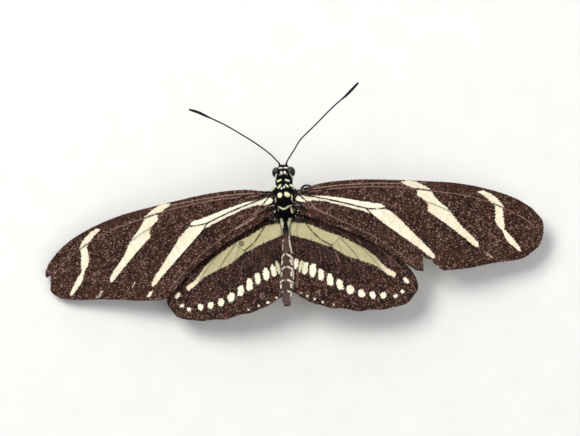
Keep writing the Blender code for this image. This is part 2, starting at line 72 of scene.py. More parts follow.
# Skin of head, thorax and abdomen, inside the solids by the coat's depth:
# place along the body, half width, height of the back, depth of the belly
SKIN = [
    (5.72, 0.12, 0.12, 0.12), (5.62, 0.52, 0.46, 0.48), (5.26, 0.90, 0.88, 0.85), (4.80, 1.10, 1.12, 1.04),
    (4.40, 1.30, 1.20, 1.10), (4.00, 1.55, 1.18, 1.06), (3.60, 1.60, 1.06, 1.00), (3.25, 1.54, 0.90, 0.94),
    (3.00, 1.50, 0.84, 0.92), (2.75, 1.46, 0.90, 1.02), (2.20, 1.42, 1.16, 1.34), (1.40, 1.50, 1.56, 1.70),
    (0.40, 1.58, 1.85, 2.00), (-0.80, 1.60, 1.92, 2.10), (-1.70, 1.54, 1.82, 1.98), (-2.40, 1.44, 1.60, 1.76),
    (-3.2, 1.26, 1.22, 1.42), (-3.9, 1.06, 0.82, 1.02), (-4.3, 0.9, 0.58, 0.74), (-4.6, 0.82, 0.48, 0.54),
    (-5.4, 0.6, 0.5, 0.54), (-7.35, 0.64, 0.66, 0.66), (-9.95, 0.9, 0.92, 0.92), (-11.0, 1.03, 1.05, 1.05),
    (-12.4, 1.14, 1.2, 1.2), (-14.7, 1.3, 1.36, 1.36), (-15.9, 1.27, 1.32, 1.32), (-16.65, 1.14, 1.22, 1.22),
    (-17.3, 0.99, 1.02, 1.02), (-18.2, 0.76, 0.78, 0.78), (-18.8, 0.58, 0.58, 0.58), (-19.02, 0.52, 0.5, 0.5),
]
JOINTS = [-5.4, -7.35, -9.95, -12.4, -14.7, -16.65, -18.2]
ABDOMEN_START = -4.6
ABDOMEN_SAG = 0.0062
# How far the abdomen's middle line leans to the right, at places along it
ABDOMEN_LEAN = [(-18.9, -0.34), (-16.9, -0.30), (-14.7, -0.14), (-12.4, 0.07), (-10.0, 0.12), (-7.35, 0.06),
                (-4.6, 0.0)]
JOINT_STEP = 0.05
SKIN_STEP = 0.12
SKIN_SIDES = 72

EYE_CENTRE = (1.24, 4.38, 0.04)
EYE_RADII = (0.82, 0.94, 0.98)

SHOULDER_CENTRE = np.array([1.58, 0.98, 0.45])
SHOULDER_RADII = np.array([0.52, 0.72, 0.46])

PALP = [(0.45, 4.75, -1.14), (0.45, 4.95, -1.50), (0.46, 5.36, -1.50), (0.46, 5.58, -1.06),
        (0.45, 5.64, -0.40), (0.42, 5.58, 0.10)]
PALP_RADII = [0.16, 0.20, 0.21, 0.18, 0.12, 0.05]
TONGUE_ROOT = [(0.0, 4.05, -0.95), (0.0, 4.00, -2.10)]
TONGUE_CENTRE = (4.85, -2.80)
TONGUE_TURN = math.radians(760.0)
TONGUE_COIL = (0.85, 0.16)
TONGUE_RADII = (0.12, 0.05)

ANTENNA = {
    "left": [(-0.54, 5.18, 0.72), (-0.57, 5.52, 1.04), (-0.62, 5.9, 1.26), (-1.08, 6.38, 1.54),
             (-2.1, 7.5, 2.0), (-4.5, 9.4, 2.7), (-6.5, 10.75, 3.3), (-9.4, 12.6, 3.9),
             (-12.0, 13.95, 4.5), (-14.0, 14.95, 5.05), (-15.6, 15.5, 5.6)],
    "right": [(0.64, 5.18, 0.72), (0.68, 5.5, 1.02), (0.72, 5.84, 1.24), (1.04, 6.38, 1.48),
              (2.2, 7.9, 2.0), (3.6, 9.7, 2.7), (6.1, 11.8, 3.3), (8.8, 14.2, 3.9),
              (10.4, 15.4, 4.5), (12.2, 16.7, 5.05), (14.3, 18.6, 5.6)],
}
ANTENNA_SHAFT = 0.125
ANTENNA_CLUB = 0.25
ANTENNA_RING = 0.36
CLUB_START = 0.78

# Legs: root in the thorax, then points down to the floor. Foot points give their height over it.
LEG_FORE = [(0.55, 1.75, -1.50), (0.62, 1.75, -2.02), (0.80, 1.55, -2.75), (0.72, 2.40, -2.75),
            (0.62, 3.10, -2.60), (0.60, 2.95, -3.15), (0.58, 2.60, -4.15)]
LEG_FORE_RADII = [0.16, 0.18, 0.19, 0.16, 0.13, 0.11, 0.07]
LEG_MIDDLE = {
    "left": [(0.70, 0.55, -1.60), (0.75, 0.55, -2.36), (1.05, -0.15, -4.00), (2.2, 0.35, -2.60),
             (3.45, 1.00, -1.45)],
    "right": [(0.70, 0.55, -1.60), (0.75, 0.55, -2.36), (1.05, 0.05, -4.00), (2.3, 1.05, -2.35),
              (3.52, 1.95, -0.95)],
}
LEG_MIDDLE_FOOT = {
    "left": [(4.7, 1.60, 4.2), (5.9, 2.00, 0.95), (6.6, 2.10, 0.11), (8.9, 2.35, 0.10), (9.8, 2.40, 0.08)],
    "right": [(4.6, 2.55, 4.2), (5.7, 2.90, 0.95), (6.4, 3.00, 0.11), (8.7, 3.20, 0.10), (9.6, 3.20, 0.08)],
}
LEG_HIND = [(0.75, -1.75, -1.60), (0.80, -1.75, -2.32), (1.05, -2.55, -4.00), (2.35, -3.40, -2.90),
            (3.75, -4.60, -1.90)]
LEG_HIND_FOOT = [(4.9, -6.20, 4.2), (6.0, -7.60, 0.95), (6.6, -8.30, 0.11), (8.2, -10.20, 0.10),
                 (8.8, -10.95, 0.08)]
LEG_RADII = [0.22, 0.24, 0.25, 0.21, 0.17, 0.13, 0.12, 0.115, 0.10, 0.05]

# Wings, in the same places as the solids
HINGE = (1.75, 0.6, 0.3)
SWEEP = {"fore": {"left": 15.0, "right": 9.8}, "hind": {"left": 13.5, "right": 11.3}}
DROOP = {"left": math.radians(7.0), "right": math.radians(4.0)}
BEND = 0.0013
RAISE = {"fore": 0.55, "hind": -0.55}
SPAN = {"fore": 44.0, "hind": 24.0}
HALF_MEMBRANE = 0.06
VEIN_WIDE = (0.21, 0.08)
VEIN_HIGH = (0.13, 0.05)
FIELD_SAG = 0.10
FIELD_WIDE = 1.3
RIPPLE = 0.05
EDGE_STEP = 0.30
GRID_STEP = 0.32
TORN = 0.05

FORE_LEADING = [(0.2, 0.4), (0.6, 0.55), (2.0, 1.15), (5.0, 2.3), (8.5, 3.2), (12.5, 3.9), (17.0, 4.4),
                (22.0, 4.9), (27.0, 5.3), (31.0, 5.25), (35.0, 4.8), (38.5, 4.0), (41.2, 2.8)]
FORE_TIP = {
    "left": [(43.0, 1.6), (44.1, 0.4), (44.3, -0.4), (44.0, -0.75), (43.6, -0.35), (43.3, -0.75),
             (43.6, -1.7), (44.1, -3.1), (43.8, -3.9), (42.6, -5.1)],
    "right": [(42.9, 1.3), (43.5, 0.2), (43.6, -1.0), (43.5, -2.4), (43.2, -3.5), (42.2, -4.6)],
}
FORE_OUTER = [(40.7, -6.0), (38.0, -6.9), (35.0, -7.8), (32.0, -8.9)]
FORE_CORNER = {
    "left": [(29.5, -9.9), (26.8, -10.8), (25.0, -11.3), (23.8, -11.4), (22.6, -10.9)],
    "right": [(29.4, -9.6), (27.6, -10.0), (26.6, -9.6), (25.9, -9.1), (25.3, -8.4), (24.4, -8.3),
              (23.7, -8.0), (23.6, -8.5), (23.8, -9.6), (24.1, -10.6), (22.8, -10.6)],
}
FORE_HIND = [(20.0, -9.2), (17.5, -7.9), (14.5, -6.7), (11.0, -5.6), (7.5, -4.8), (4.0, -4.0), (1.6, -3.4)]
FORE_ROOT = [(-0.2, -2.9), (-0.6, -1.2), (-0.3, 0.2)]
HIND_LEADING = [(1.0, -2.1), (3.0, -2.1), (6.5, -2.6), (10.0, -3.5), (14.0, -5.0), (18.0, -7.2),
                (21.2, -9.4), (23.0, -11.2)]
HIND_OUTER = [(23.7, -12.8), (23.4, -14.3), (22.6, -15.6), (21.0, -16.8), (19.2, -17.4),
              (17.0, -18.0), (14.2, -18.6), (11.2, -18.7), (8.5, -18.8), (6.2, -18.4), (4.4, -18.0),
              (3.0, -17.2)]
HIND_ROOT = [(0.8, -3.6), (0.9, -1.6)]

FORE_VEINS = {
    "subcosta": [(1.2, 0.25), (4.0, 1.3), (8.0, 2.35), (13.0, 3.3), (18.0, 4.0), (22.5, 4.7)],
    "radius": [(1.2, -0.1), (4.0, 0.8), (8.0, 1.8), (12.0, 2.6), (16.0, 3.1), (20.0, 3.4), (24.0, 3.45),
               (28.0, 3.5), (32.0, 3.2), (36.0, 2.3), (40.0, 0.9), (43.1, -0.9)],
    "radius_1": [(15.0, 3.0), (19.0, 3.8), (24.0, 4.5), (28.0, 5.1)],
    "radius_2": [(27.0, 3.5), (31.0, 4.0), (35.0, 4.2), (37.0, 4.2)],
    "radius_3": [(33.5, 2.9), (37.0, 2.75), (40.0, 2.55), (41.5, 2.3)],
    "cell_end": [(17.2, 3.2), (17.4, 2.1), (16.9, 1.0), (16.3, -0.6), (14.7, -0.95), (12.9, -1.15)],
    "media_1": [(17.3, 2.1), (20.5, 1.9), (23.7, 1.3), (27.4, 0.3), (32.0, -1.1), (37.0, -3.4), (40.8, -5.7)],
    "media_2": [(16.9, 1.0), (20.5, 0.3), (23.7, -0.4), (26.4, -1.9), (30.6, -4.5), (33.0, -6.2),
                (35.2, -7.5)],
    "media_3": [(16.3, -0.6), (20.0, -1.3), (24.0, -3.6), (28.0, -6.8), (31.0, -9.0)],
    "cubitus": [(1.2, -0.2), (3.3, -0.3), (4.8, -0.36), (6.5, -0.46), (9.5, -0.72), (12.9, -1.12)],
    "cubitus_1": [(14.7, -0.95), (17.0, -1.25), (19.0, -2.4), (21.8, -4.6), (24.5, -7.0), (27.0, -9.6)],
    "cubitus_2": [(12.9, -1.15), (14.6, -2.5), (18.0, -4.5), (21.5, -6.6), (23.3, -8.0)],
    "anal": [(1.3, -1.9), (3.5, -2.3), (7.0, -3.3), (11.0, -4.5), (16.0, -6.3), (20.0, -8.4), (22.6, -10.1)],
}
HIND_VEINS = {
    "costa": [(1.2, -2.7), (4.0, -2.9), (8.0, -3.6), (14.0, -6.0), (19.5, -9.4), (23.0, -12.4)],
    "radius": [(1.2, -3.2), (4.0, -3.8), (8.0, -5.1), (9.5, -5.7), (14.0, -8.2), (18.0, -11.6), (20.9, -14.5),
               (22.2, -15.6)],
    "cell_end": [(9.5, -5.7), (9.1, -6.4), (8.6, -7.1), (7.9, -8.0)],
    "media_1": [(9.1, -6.4), (12.5, -9.2), (15.3, -12.6), (17.2, -15.4), (18.3, -17.3)],
    "media_2": [(8.6, -7.1), (10.8, -10.2), (12.4, -13.0), (13.4, -15.4), (14.2, -18.1)],
    "media_3": [(7.9, -8.0), (8.8, -11.0), (9.4, -14.4), (9.8, -18.3)],
    "cubitus": {
        "left": [(1.0, -3.7), (2.6, -4.5), (4.2, -5.8), (5.9, -7.2), (7.9, -8.0)],
        "right": [(1.0, -3.7), (2.52, -4.69), (3.86, -5.9), (5.08, -6.86), (6.1, -7.4), (7.9, -8.0)],
    },
    "cubitus_1": [(5.9, -7.2), (6.3, -10.5), (6.2, -13.5), (6.3, -18.0)],
    "cubitus_2": [(4.2, -5.8), (3.9, -9.0), (3.6, -12.8), (3.5, -16.9)],
}

# How veins show in the scales: dark over pale marks, dark over brown, light over brown
VEIN_LOOKS = {
    "fore": {"subcosta": (0.0, 0.0, 0.95), "radius": (0.85, 0.0, 0.75), "cell_end": (1.0, 0.2, 0.1),
             "media_1": (0.5, 0.5, 0.0), "media_2": (0.9, 0.8, 0.0), "media_3": (0.0, 0.5, 0.0),
             "cubitus": (1.0, 0.3, 0.0), "cubitus_1": (0.0, 0.4, 0.0), "cubitus_2": (1.0, 0.8, 0.0),
             "anal": (0.0, 0.2, 0.55)},
    "hind": {"costa": (0.0, 0.0, 0.4), "radius": (0.35, 0.1, 0.2), "cell_end": (0.8, 0.0, 0.1),
             "media_1": (0.5, 0.3, 0.1), "media_2": (0.3, 0.4, 0.1), "media_3": (0.2, 0.4, 0.1),
             "cubitus": (0.9, 0.4, 0.0), "cubitus_1": (0.2, 0.5, 0.1), "cubitus_2": (0.2, 0.5, 0.1)},
}
PLAIN_VEIN = (0.0, 0.1, 0.15)
# Dark lines that are no veins, near the wing's root
FORE_INK = [((0.85, -0.25), (2.7, -1.38), 0.10), ((2.7, -1.38), (3.4, -1.8), 0.06),
            ((0.8, 0.75), (7.0, 1.25), 0.09), ((0.8, 0.1), (3.4, 0.25), 0.12), ((1.0, 1.6), (6.0, 2.7), 0.05)]
FORE_DARK = (1.9, 0.35, 1.5, 0.40)

# Pale marks of the forewing: the streak along its cell and three bands across
FORE_MARKS = {
    "streak": [(0.45, -1.0), (0.8, -0.55), (1.43, -0.34), (2.4, -0.3), (3.3, -0.15), (4.2, 0.02), (5.2, 0.1),
               (6.5, 0.14), (8.2, 0.14), (10.2, 0.1), (12.1, 0.05), (14.0, 0.0), (15.4, 0.0), (16.1, -0.5),
               (14.7, -0.9), (12.9, -1.1), (13.5, -1.95), (12.5, -1.7), (10.6, -1.45), (8.6, -1.2),
               (6.7, -1.0), (5.6, -0.9), (4.0, -0.93), (3.47, -0.94), (2.76, -1.23), (2.07, -1.42),
               (1.4, -1.5), (0.6, -1.42)],
    "band_1": [(12.9, -1.15), (14.7, -0.9), (16.2, -0.7), (17.1, -1.15), (18.5, -2.0), (20.0, -3.2),
               (21.0, -4.05), (22.5, -5.3), (23.8, -6.3), (25.2, -7.5), (25.8, -8.3), (25.6, -8.7),
               (24.9, -8.4), (23.0, -7.2), (21.7, -6.5), (19.4, -5.2), (17.0, -3.9), (14.7, -2.5),
               (13.5, -1.9)],
    "crumb": [(25.9, -9.4), (26.4, -9.35), (27.2, -10.0), (26.9, -10.3), (26.2, -9.9)],
    "band_2_front": [(18.1, 4.35), (19.8, 4.75), (20.6, 4.7), (22.1, 4.3), (23.6, 3.65), (20.6, 3.55),
                     (19.3, 3.75)],
    "band_2": [(21.1, 3.3), (23.6, 3.45), (24.2, 2.7), (25.2, 1.85), (26.5, 1.0), (27.4, 0.3),
               (28.3, -0.75), (29.3, -1.8), (30.4, -2.7), (31.7, -3.6), (32.7, -4.5), (33.0, -5.4),
               (32.5, -5.5), (31.9, -5.2), (30.6, -4.3), (28.4, -2.9), (26.4, -1.75), (24.9, -1.0),
               (23.6, -0.4), (23.4, 0.3), (23.4, 0.9), (22.9, 1.45), (22.3, 1.9), (21.3, 2.45)],
    "band_3": [(31.5, 4.4), (32.4, 4.75), (33.6, 4.5), (34.9, 3.9), (35.7, 3.2), (36.3, 2.5), (36.3, 1.9),
               (36.4, 1.0), (36.7, 0.15), (36.9, -0.8), (37.0, -1.6), (38.1, -2.45), (39.1, -3.4),
               (40.0, -4.4), (40.4, -5.1), (40.0, -5.2), (39.3, -4.8), (38.3, -4.1), (37.3, -3.2),
               (37.0, -2.5), (36.5, -1.7), (35.7, -1.0), (35.2, -0.2), (35.1, 0.6), (35.0, 1.4),
               (34.9, 2.3), (34.2, 2.8), (33.3, 3.5), (32.3, 4.05)],
}
# The outer band lies a little further out on the left
BAND_3_SHIFT = {"left": (0.42, -0.15), "right": (0.0, 0.0)}
# The bands end a little sooner towards the hind edge on the right
MARK_REACH = {"left": 1.0, "right": 0.955}
FORE_SCUFFS = {
    "left": [((34.9, -6.5), (36.1, -7.3), 0.24), ((28.6, -6.9), (29.2, -7.6), 0.10)],
    "right": [((34.0, -5.8), (35.9, -6.9), 0.12)],
}
# Fine light lines of painted glint, with how light they are, and white flecks by the wing's root
FORE_GLINT_LINES = {
    "left": [((4.6, -2.97), (8.3, -3.8), 0.06, 0.8), ((3.2, -1.6), (4.0, -2.15), 0.04, 0.5)],
    "right": [((3.2, -1.6), (4.0, -2.15), 0.04, 0.5), ((4.0, -2.15), (5.55, -2.83), 0.04, 0.5),
              ((5.55, -2.83), (7.1, -3.2), 0.04, 0.4)],
}
FORE_FLECKS = {"left": [(0.72, -1.97, 0.14), (0.76, -3.1, 0.10), (1.41, -3.5, 0.10)],
               "right": [(0.7, -2.1, 0.11), (1.1, -3.0, 0.10)]}
HIND_BAND = [(-1.6, -5.4), (-0.8, -5.3), (0.3, -5.1), (0.8, -4.95), (2.4, -4.9), (4.3, -5.2), (6.2, -5.7),
             (8.2, -6.0), (10.1, -6.5), (12.1, -7.1), (13.9, -7.8), (15.6, -8.7), (16.7, -9.6),
             (17.9, -10.45), (18.8, -10.7), (19.6, -11.0), (19.8, -11.4), (19.5, -11.9), (18.4, -11.5),
             (17.3, -11.0), (16.2, -10.4), (14.4, -10.0), (12.5, -9.7), (10.6, -9.4), (9.4, -8.9),
             (7.8, -8.2), (6.8, -8.2), (4.9, -7.8), (3.0, -7.55), (1.2, -7.35), (0.4, -7.4), (-1.6, -7.5)]
HIND_FAN = (4.0, 2.0)
# Row of spots near the hindwing's margin: middle, width and height, the height pointing at the fan
HIND_SPOTS = [
    (21.60, -12.05, 0.75, 1.35), (21.25, -14.05, 0.65, 0.75), (20.20, -15.05, 0.80, 0.65),
    (18.10, -15.25, 1.20, 1.05), (16.25, -15.45, 1.05, 1.35), (14.30, -15.50, 1.20, 1.45),
    (12.30, -15.15, 1.30, 1.65), (10.35, -14.60, 1.25, 2.00), (8.55, -14.00, 1.20, 2.30),
    (6.85, -13.35, 1.15, 2.05),
]
INNER_SPOTS = {
    "left": [(5.20, -13.10, 1.20, 2.25), (3.79, -12.94, 1.05, 2.25), (2.84, -12.70, 0.70, 2.60)],
    "right": [(5.30, -12.85, 1.25, 2.50), (3.96, -12.70, 1.05, 2.35), (3.13, -12.46, 0.65, 2.20),
              (2.26, -12.20, 0.84, 2.00)],
}
# The one spot on each side that is as yellow as the band
YELLOW_SPOT = {"left": (2.84, -12.70), "right": (3.13, -12.46)}
HIND_DOTS = {
    "left": [(4.58, -17.6, 0.22), (6.19, -18.0, 0.25), (7.9, -18.1, 0.18), (9.9, -18.15, 0.15)],
    "right": [(3.99, -17.12, 0.16), (5.05, -17.4, 0.19), (6.52, -17.82, 0.21), (7.9, -18.1, 0.18),
              (9.9, -18.15, 0.15)],
}
# Painted shade along a fold beside the abdomen on the right, and a small dark ring in the left band
HIND_FOLD_SHADE = ((1.25, -4.95), (2.35, -11.8), 0.09)
HIND_RING = (8.05, -6.62, 0.30, 0.17)
# Painted highlights along thin folds of the right hindwing, with how light they are
HIND_FOLD_GLINTS = {
    "left": [],
    "right": [((8.3, -8.5), (9.7, -10.6), 0.05, 0.6), ((5.4, -7.9), (6.6, -11.1), 0.04, 0.35),
              ((1.85, -8.4), (3.1, -16.2), 0.05, 0.45)],
}
# The smooth front of the hindwing under the forewing's edge, darkened there as painted shadow of the
# forewing, and the depth of the margin's scallops
HIND_FRONT = ((2.0, -3.4), (17.0, -7.6))
SCALLOP = 0.20
# Warm tints of the forewing: place, spread and strength. The first shows along rims of marks only
FORE_WARM = [(23.3, 0.8, 1.2, 0.4), (25.9, -8.6, 0.4, 0.3), (3.0, -1.2, 0.4, 0.15)]
# How the scales differ: spread of their tone, share of light ones, how light these are on a forewing. The
# light ones are partly worn scales, partly painted glints
TONE_SPREAD = 0.8
LIGHT_SHARE = 0.08
FORE_LIGHT = 0.80

# Crimson touches at the wing bases below, as the species has, and one above on the right
RED_BELOW = {"fore": [(2.4, 0.9, 0.35), (3.0, -1.9, 0.30)],
             "hind": [(2.6, -3.3, 0.35), (3.4, -5.2, 0.30), (1.6, -6.3, 0.26)]}
RED_ABOVE = {"forewing_right": [(2.95, -3.3, 0.15)]}

# Marks of the body seen from above: colour, two ends of a bar, and its half width
BODY_MARKS = [
    ("cream", (-0.62, 5.00), (-0.24, 5.00), 0.17), ("cream", (0.31, 5.00), (0.75, 5.00), 0.17),
    ("white", (-0.23, 4.12), (-0.24, 4.04), 0.21), ("white", (0.36, 4.16), (0.36, 4.08), 0.19),
    ("grey", (-0.40, 3.93), (-0.60, 3.72), 0.11), ("grey", (0.48, 3.96), (0.72, 3.76), 0.11),
    ("yellow", (-1.24, 3.92), (-1.50, 3.00), 0.14), ("yellow", (1.32, 3.94), (1.54, 3.40), 0.15),
    ("grey", (1.50, 3.30), (1.44, 2.95), 0.10),
    ("yellow", (-1.00, 2.66), (-0.48, 2.90), 0.16), ("yellow", (0.44, 2.84), (0.94, 2.62), 0.16),
    ("yellow", (-1.72, 1.50), (-1.36, 1.80), 0.16), ("yellow", (-0.88, 1.44), (-0.49, 1.92), 0.14),
    ("white", (-0.31, 1.22), (-0.29, 1.42), 0.12), ("white", (0.17, 1.42), (0.18, 1.62), 0.13),
    ("yellow", (0.45, 1.94), (0.82, 1.50), 0.13), ("yellow", (1.24, 1.84), (1.74, 1.54), 0.18),
    ("grey", (-2.03, 0.66), (-2.03, 0.58), 0.16), ("pale", (1.90, 0.80), (1.90, 0.70), 0.16),
    ("yellow", (-0.60, 0.09), (-0.60, 0.02), 0.42), ("yellow", (0.56, 0.19), (0.80, 0.04), 0.37),
    ("yellow", (-1.47, -0.28), (-1.46, -0.98), 0.13), ("yellow", (1.48, 0.02), (1.48, -0.78), 0.16),
    ("cream", (-0.92, -1.90), (-0.62, -2.08), 0.08), ("yellow", (-0.62, -2.08), (-0.12, -2.34), 0.12),
    ("yellow", (-0.12, -2.34), (0.30, -2.30), 0.13), ("yellow", (0.30, -2.30), (0.80, -1.95), 0.12),
    ("cream", (0.80, -1.95), (1.25, -1.78), 0.08),
    ("yellow", (1.22, -2.22), (1.27, -2.95), 0.12), ("grey", (-0.96, -2.30), (-1.00, -2.60), 0.08),
    ("pale", (-0.60, -4.10), (-0.55, -4.55), 0.22), ("pale", (-0.53, -4.60), (-0.51, -4.90), 0.27),
    ("pale", (-0.50, -4.90), (-0.47, -5.40), 0.13),
    ("pale", (0.86, -4.10), (0.78, -4.50), 0.24), ("pale", (0.74, -4.60), (0.70, -4.85), 0.33),
    ("pale", (0.66, -4.90), (0.60, -5.40), 0.15),
    ("pale", (0.60, -5.50), (0.60, -6.90), 0.05), ("cream", (0.60, -7.05), (0.61, -7.45), 0.12),
    ("cream", (0.64, -7.80), (0.71, -8.90), 0.17), ("cream", (0.75, -9.10), (0.86, -9.88), 0.13),
    ("pale", (-0.54, -5.50), (-0.56, -6.70), 0.04),
    ("cream", (-0.58, -7.60), (-0.60, -7.90), 0.09), ("cream", (-0.64, -8.45), (-0.70, -9.40), 0.07),
    ("cream", (-1.01, -10.90), (-0.75, -10.45), 0.12), ("cream", (-0.75, -10.45), (-0.43, -10.14), 0.11),
    ("grey", (-0.43, -10.14), (-0.08, -10.10), 0.08), ("grey", (-0.08, -10.10), (0.10, -10.22), 0.09),
    ("cream", (0.10, -10.22), (0.42, -10.42), 0.11), ("cream", (0.42, -10.42), (0.94, -10.88), 0.15),
    ("cream", (0.98, -10.96), (1.02, -11.35), 0.15),
    ("cream", (-0.85, -11.30), (-0.96, -11.88), 0.13), ("cream", (0.60, -11.25), (0.88, -11.98), 0.14),
    ("cream", (-0.90, -12.74), (-0.40, -12.44), 0.12), ("grey", (-0.40, -12.44), (0.24, -12.38), 0.08),
    ("cream", (0.26, -12.42), (0.90, -12.76), 0.14), ("cream", (0.92, -12.80), (1.04, -13.30), 0.12),
    ("pale", (-0.86, -13.40), (-0.92, -13.96), 0.13), ("cream", (0.80, -13.42), (0.85, -13.98), 0.15),
    ("cream", (-1.10, -15.00), (-0.66, -14.74), 0.12), ("grey", (-0.60, -14.72), (0.24, -14.64), 0.06),
    ("cream", (0.34, -14.70), (1.02, -15.02), 0.15),
    ("cream", (-0.92, -15.50), (-0.92, -15.95), 0.16), ("cream", (0.87, -15.42), (0.88, -15.95), 0.16),
    ("grey", (-0.96, -16.84), (-0.46, -16.60), 0.13), ("cream", (0.36, -16.60), (0.98, -16.88), 0.15),
    ("cream", (0.82, -17.12), (0.82, -17.42), 0.13), ("grey", (0.76, -17.60), (0.70, -18.30), 0.12),
    ("grey", (-0.78, -17.30), (-0.74, -17.80), 0.08), ("grey", (1.04, -11.60), (1.08, -12.60), 0.08),
    ("cream", (1.10, -13.40), (1.22, -14.50), 0.12), ("cream", (1.26, -15.00), (1.20, -16.30), 0.12),
    ("grey", (-1.20, -13.60), (-1.26, -14.60), 0.08), ("grey", (-1.24, -15.20), (-1.16, -16.40), 0.08),
]
# Yellow marks on the flanks: place along, angle round from straight below, half sizes
FLANK_MARKS = [(4.1, 66.0, 0.5, 10.0), (2.55, 62.0, 0.2, 16.0), (1.35, 58.0, 0.22, 20.0),
               (0.15, 52.0, 0.22, 20.0), (-1.25, 56.0, 0.24, 22.0), (-2.6, 50.0, 0.2, 20.0)]
BELLY_STRIPE = 15.0
BODY_KEYS = ("yellow", "cream", "white", "grey", "pale", "mauve", "lilac", "tone")

ROWS_TOP = (0.17, 0.125)
ROWS_BELOW = (0.24, 0.18)
SCALE_LENGTH = 1.75
SCALE_WIDTH = 1.28
FAN = {"fore": (-2.0, 2.0), "hind": (1.0, -1.0)}
PATCH = 0.003


def colour(red, green, blue):
    """Light values of a screen colour given from 0 to 255."""
    levels = [level / 255.0 for level in (red, green, blue)]
    return tuple(level / 12.92 if level <= 0.04045 else ((level + 0.055) / 1.055) ** 2.4 for level in levels)


def body_origin():
    """Where the middle of the thorax stands in the frame, in millimetres."""
    low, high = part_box("thorax")
    front = THORAX_FRONT * math.cos(BODY_PITCH) + THORAX_FRONT_BELLY * math.sin(BODY_PITCH)
    return np.array([(low.x + high.x) / 2 / MM, high.y / MM - front, BODY_HEIGHT])


ORIGIN = body_origin()


def turned(pairs, cosine, sine):
    """Flat vectors turned anticlockwise by the angle of this cosine and sine."""
    a, b = pairs[..., 0], pairs[..., 1]
    return np.stack([a * cosine - b * sine, a * sine + b * cosine], -1)


def to_world(points):
    """Millimetres in the body's frame to metres in the world."""
    points = np.asarray(points, float)
    pitched = turned(points[..., 1:], math.cos(BODY_PITCH), math.sin(BODY_PITCH))
    return (np.concatenate([points[..., :1], pitched], -1) + ORIGIN) * MM


def to_body(points):
    """Millimetres in the world, from the thorax's foot on the floor, to the body's frame."""
    points = np.asarray(points, float) - (0.0, 0.0, BODY_HEIGHT)
    level = turned(points[..., 1:], math.cos(BODY_PITCH), -math.sin(BODY_PITCH))
    return np.concatenate([points[..., :1], level], -1)


def smooth_line(points, step):
    """Points about a step apart on a Catmull-Rom curve through the points given."""
    points = np.asarray(points, float)
    made = []
    for index in range(len(points) - 1):
        here, there = points[index], points[index + 1]
        before = points[index - 1] if index else here * 2 - there
        after = points[index + 2] if index + 2 < len(points) else there * 2 - here
        count = max(1, round(float(np.linalg.norm(there - here)) / step))
        t = (np.arange(count) / count)[:, None]
        made.append(0.5 * (2 * here + (there - before) * t
                           + (2 * before - 5 * here + 4 * there - after) * t ** 2
                           + (3 * here - before - 3 * there + after) * t ** 3))
    made.append(points[-1:])
    return np.concatenate(made)


def straight_line(points, step):
    """Points about a step apart on the straight runs between the points given."""
    points = np.asarray(points, float)
    made = []
    for here, there in zip(points, points[1:]):
        count = max(1, round(float(np.linalg.norm(there - here)) / step))
        made.append(here + (there - here) * (np.arange(count) / count)[:, None])
    made.append(points[-1:])
    return np.concatenate(made)


def noise(x, y, size, seed):
    """Smooth lumps from -1 to 1, each about the size given across."""
    table = np.random.default_rng(seed).uniform(-1.0, 1.0, (256, 256))
    x, y = np.asarray(x, float) / size, np.asarray(y, float) / size
    column, row = np.floor(x).astype(int), np.floor(y).astype(int)
    a, b = x - column, y - row
    a, b = a * a * (3 - 2 * a), b * b * (3 - 2 * b)

    def corner(right, up):
        return table[(column + right) % 256, (row + up) % 256]

    low = corner(0, 0) * (1 - a) + corner(1, 0) * a
    high = corner(0, 1) * (1 - a) + corner(1, 1) * a
    return low * (1 - b) + high * b


def ramp(value, start, end):
    """0 before start, 1 past end, and smooth between."""
    share = np.clip((np.asarray(value, float) - start) / (end - start), 0.0, 1.0)
    return share * share * (3 - 2 * share)


def inside(points, ring):
    """Which of the points lie in a closed outline."""
    x, y = points[:, 0], points[:, 1]
    found = np.zeros(len(points), bool)
    for (ax, ay), (bx, by) in zip(ring, np.roll(ring, -1, axis=0)):
        if ay == by:
            continue
        crosses = (ay > y) != (by > y)
        found ^= crosses & (x < ax + (y - ay) / (by - ay) * (bx - ax))
    return found


def distance(points, starts, ends):
    """Distance from each point to the nearest of the straight pieces, and which piece that is."""
    best = np.full(len(points), np.inf)
    piece = np.zeros(len(points), int)
    along = ends - starts
    lengths = np.maximum((along ** 2).sum(1), 1e-12)
    for first in range(0, len(points), 4000):
        part = points[first:first + 4000, None, :] - starts[None]
        share = np.clip((part * along).sum(2) / lengths, 0.0, 1.0)
        away = np.linalg.norm(part - along * share[..., None], axis=2)
        nearest = away.argmin(1)
        best[first:first + 4000] = away[np.arange(len(away)), nearest]
        piece[first:first + 4000] = nearest
    return best, piece


def bar_distance(points, start, end):
    start, end = np.asarray(start, float), np.asarray(end, float)
    return distance(points, start[None], end[None])[0]


def outward(points, triangles):
    """Triangles turned, if need be, so that the closed mesh faces out."""
    a, b, c = (points[triangles[:, corner]] for corner in range(3))
    if np.einsum("ij,ij->i", a, np.cross(b, c)).sum() < 0:
        return triangles[:, ::-1]
    return triangles


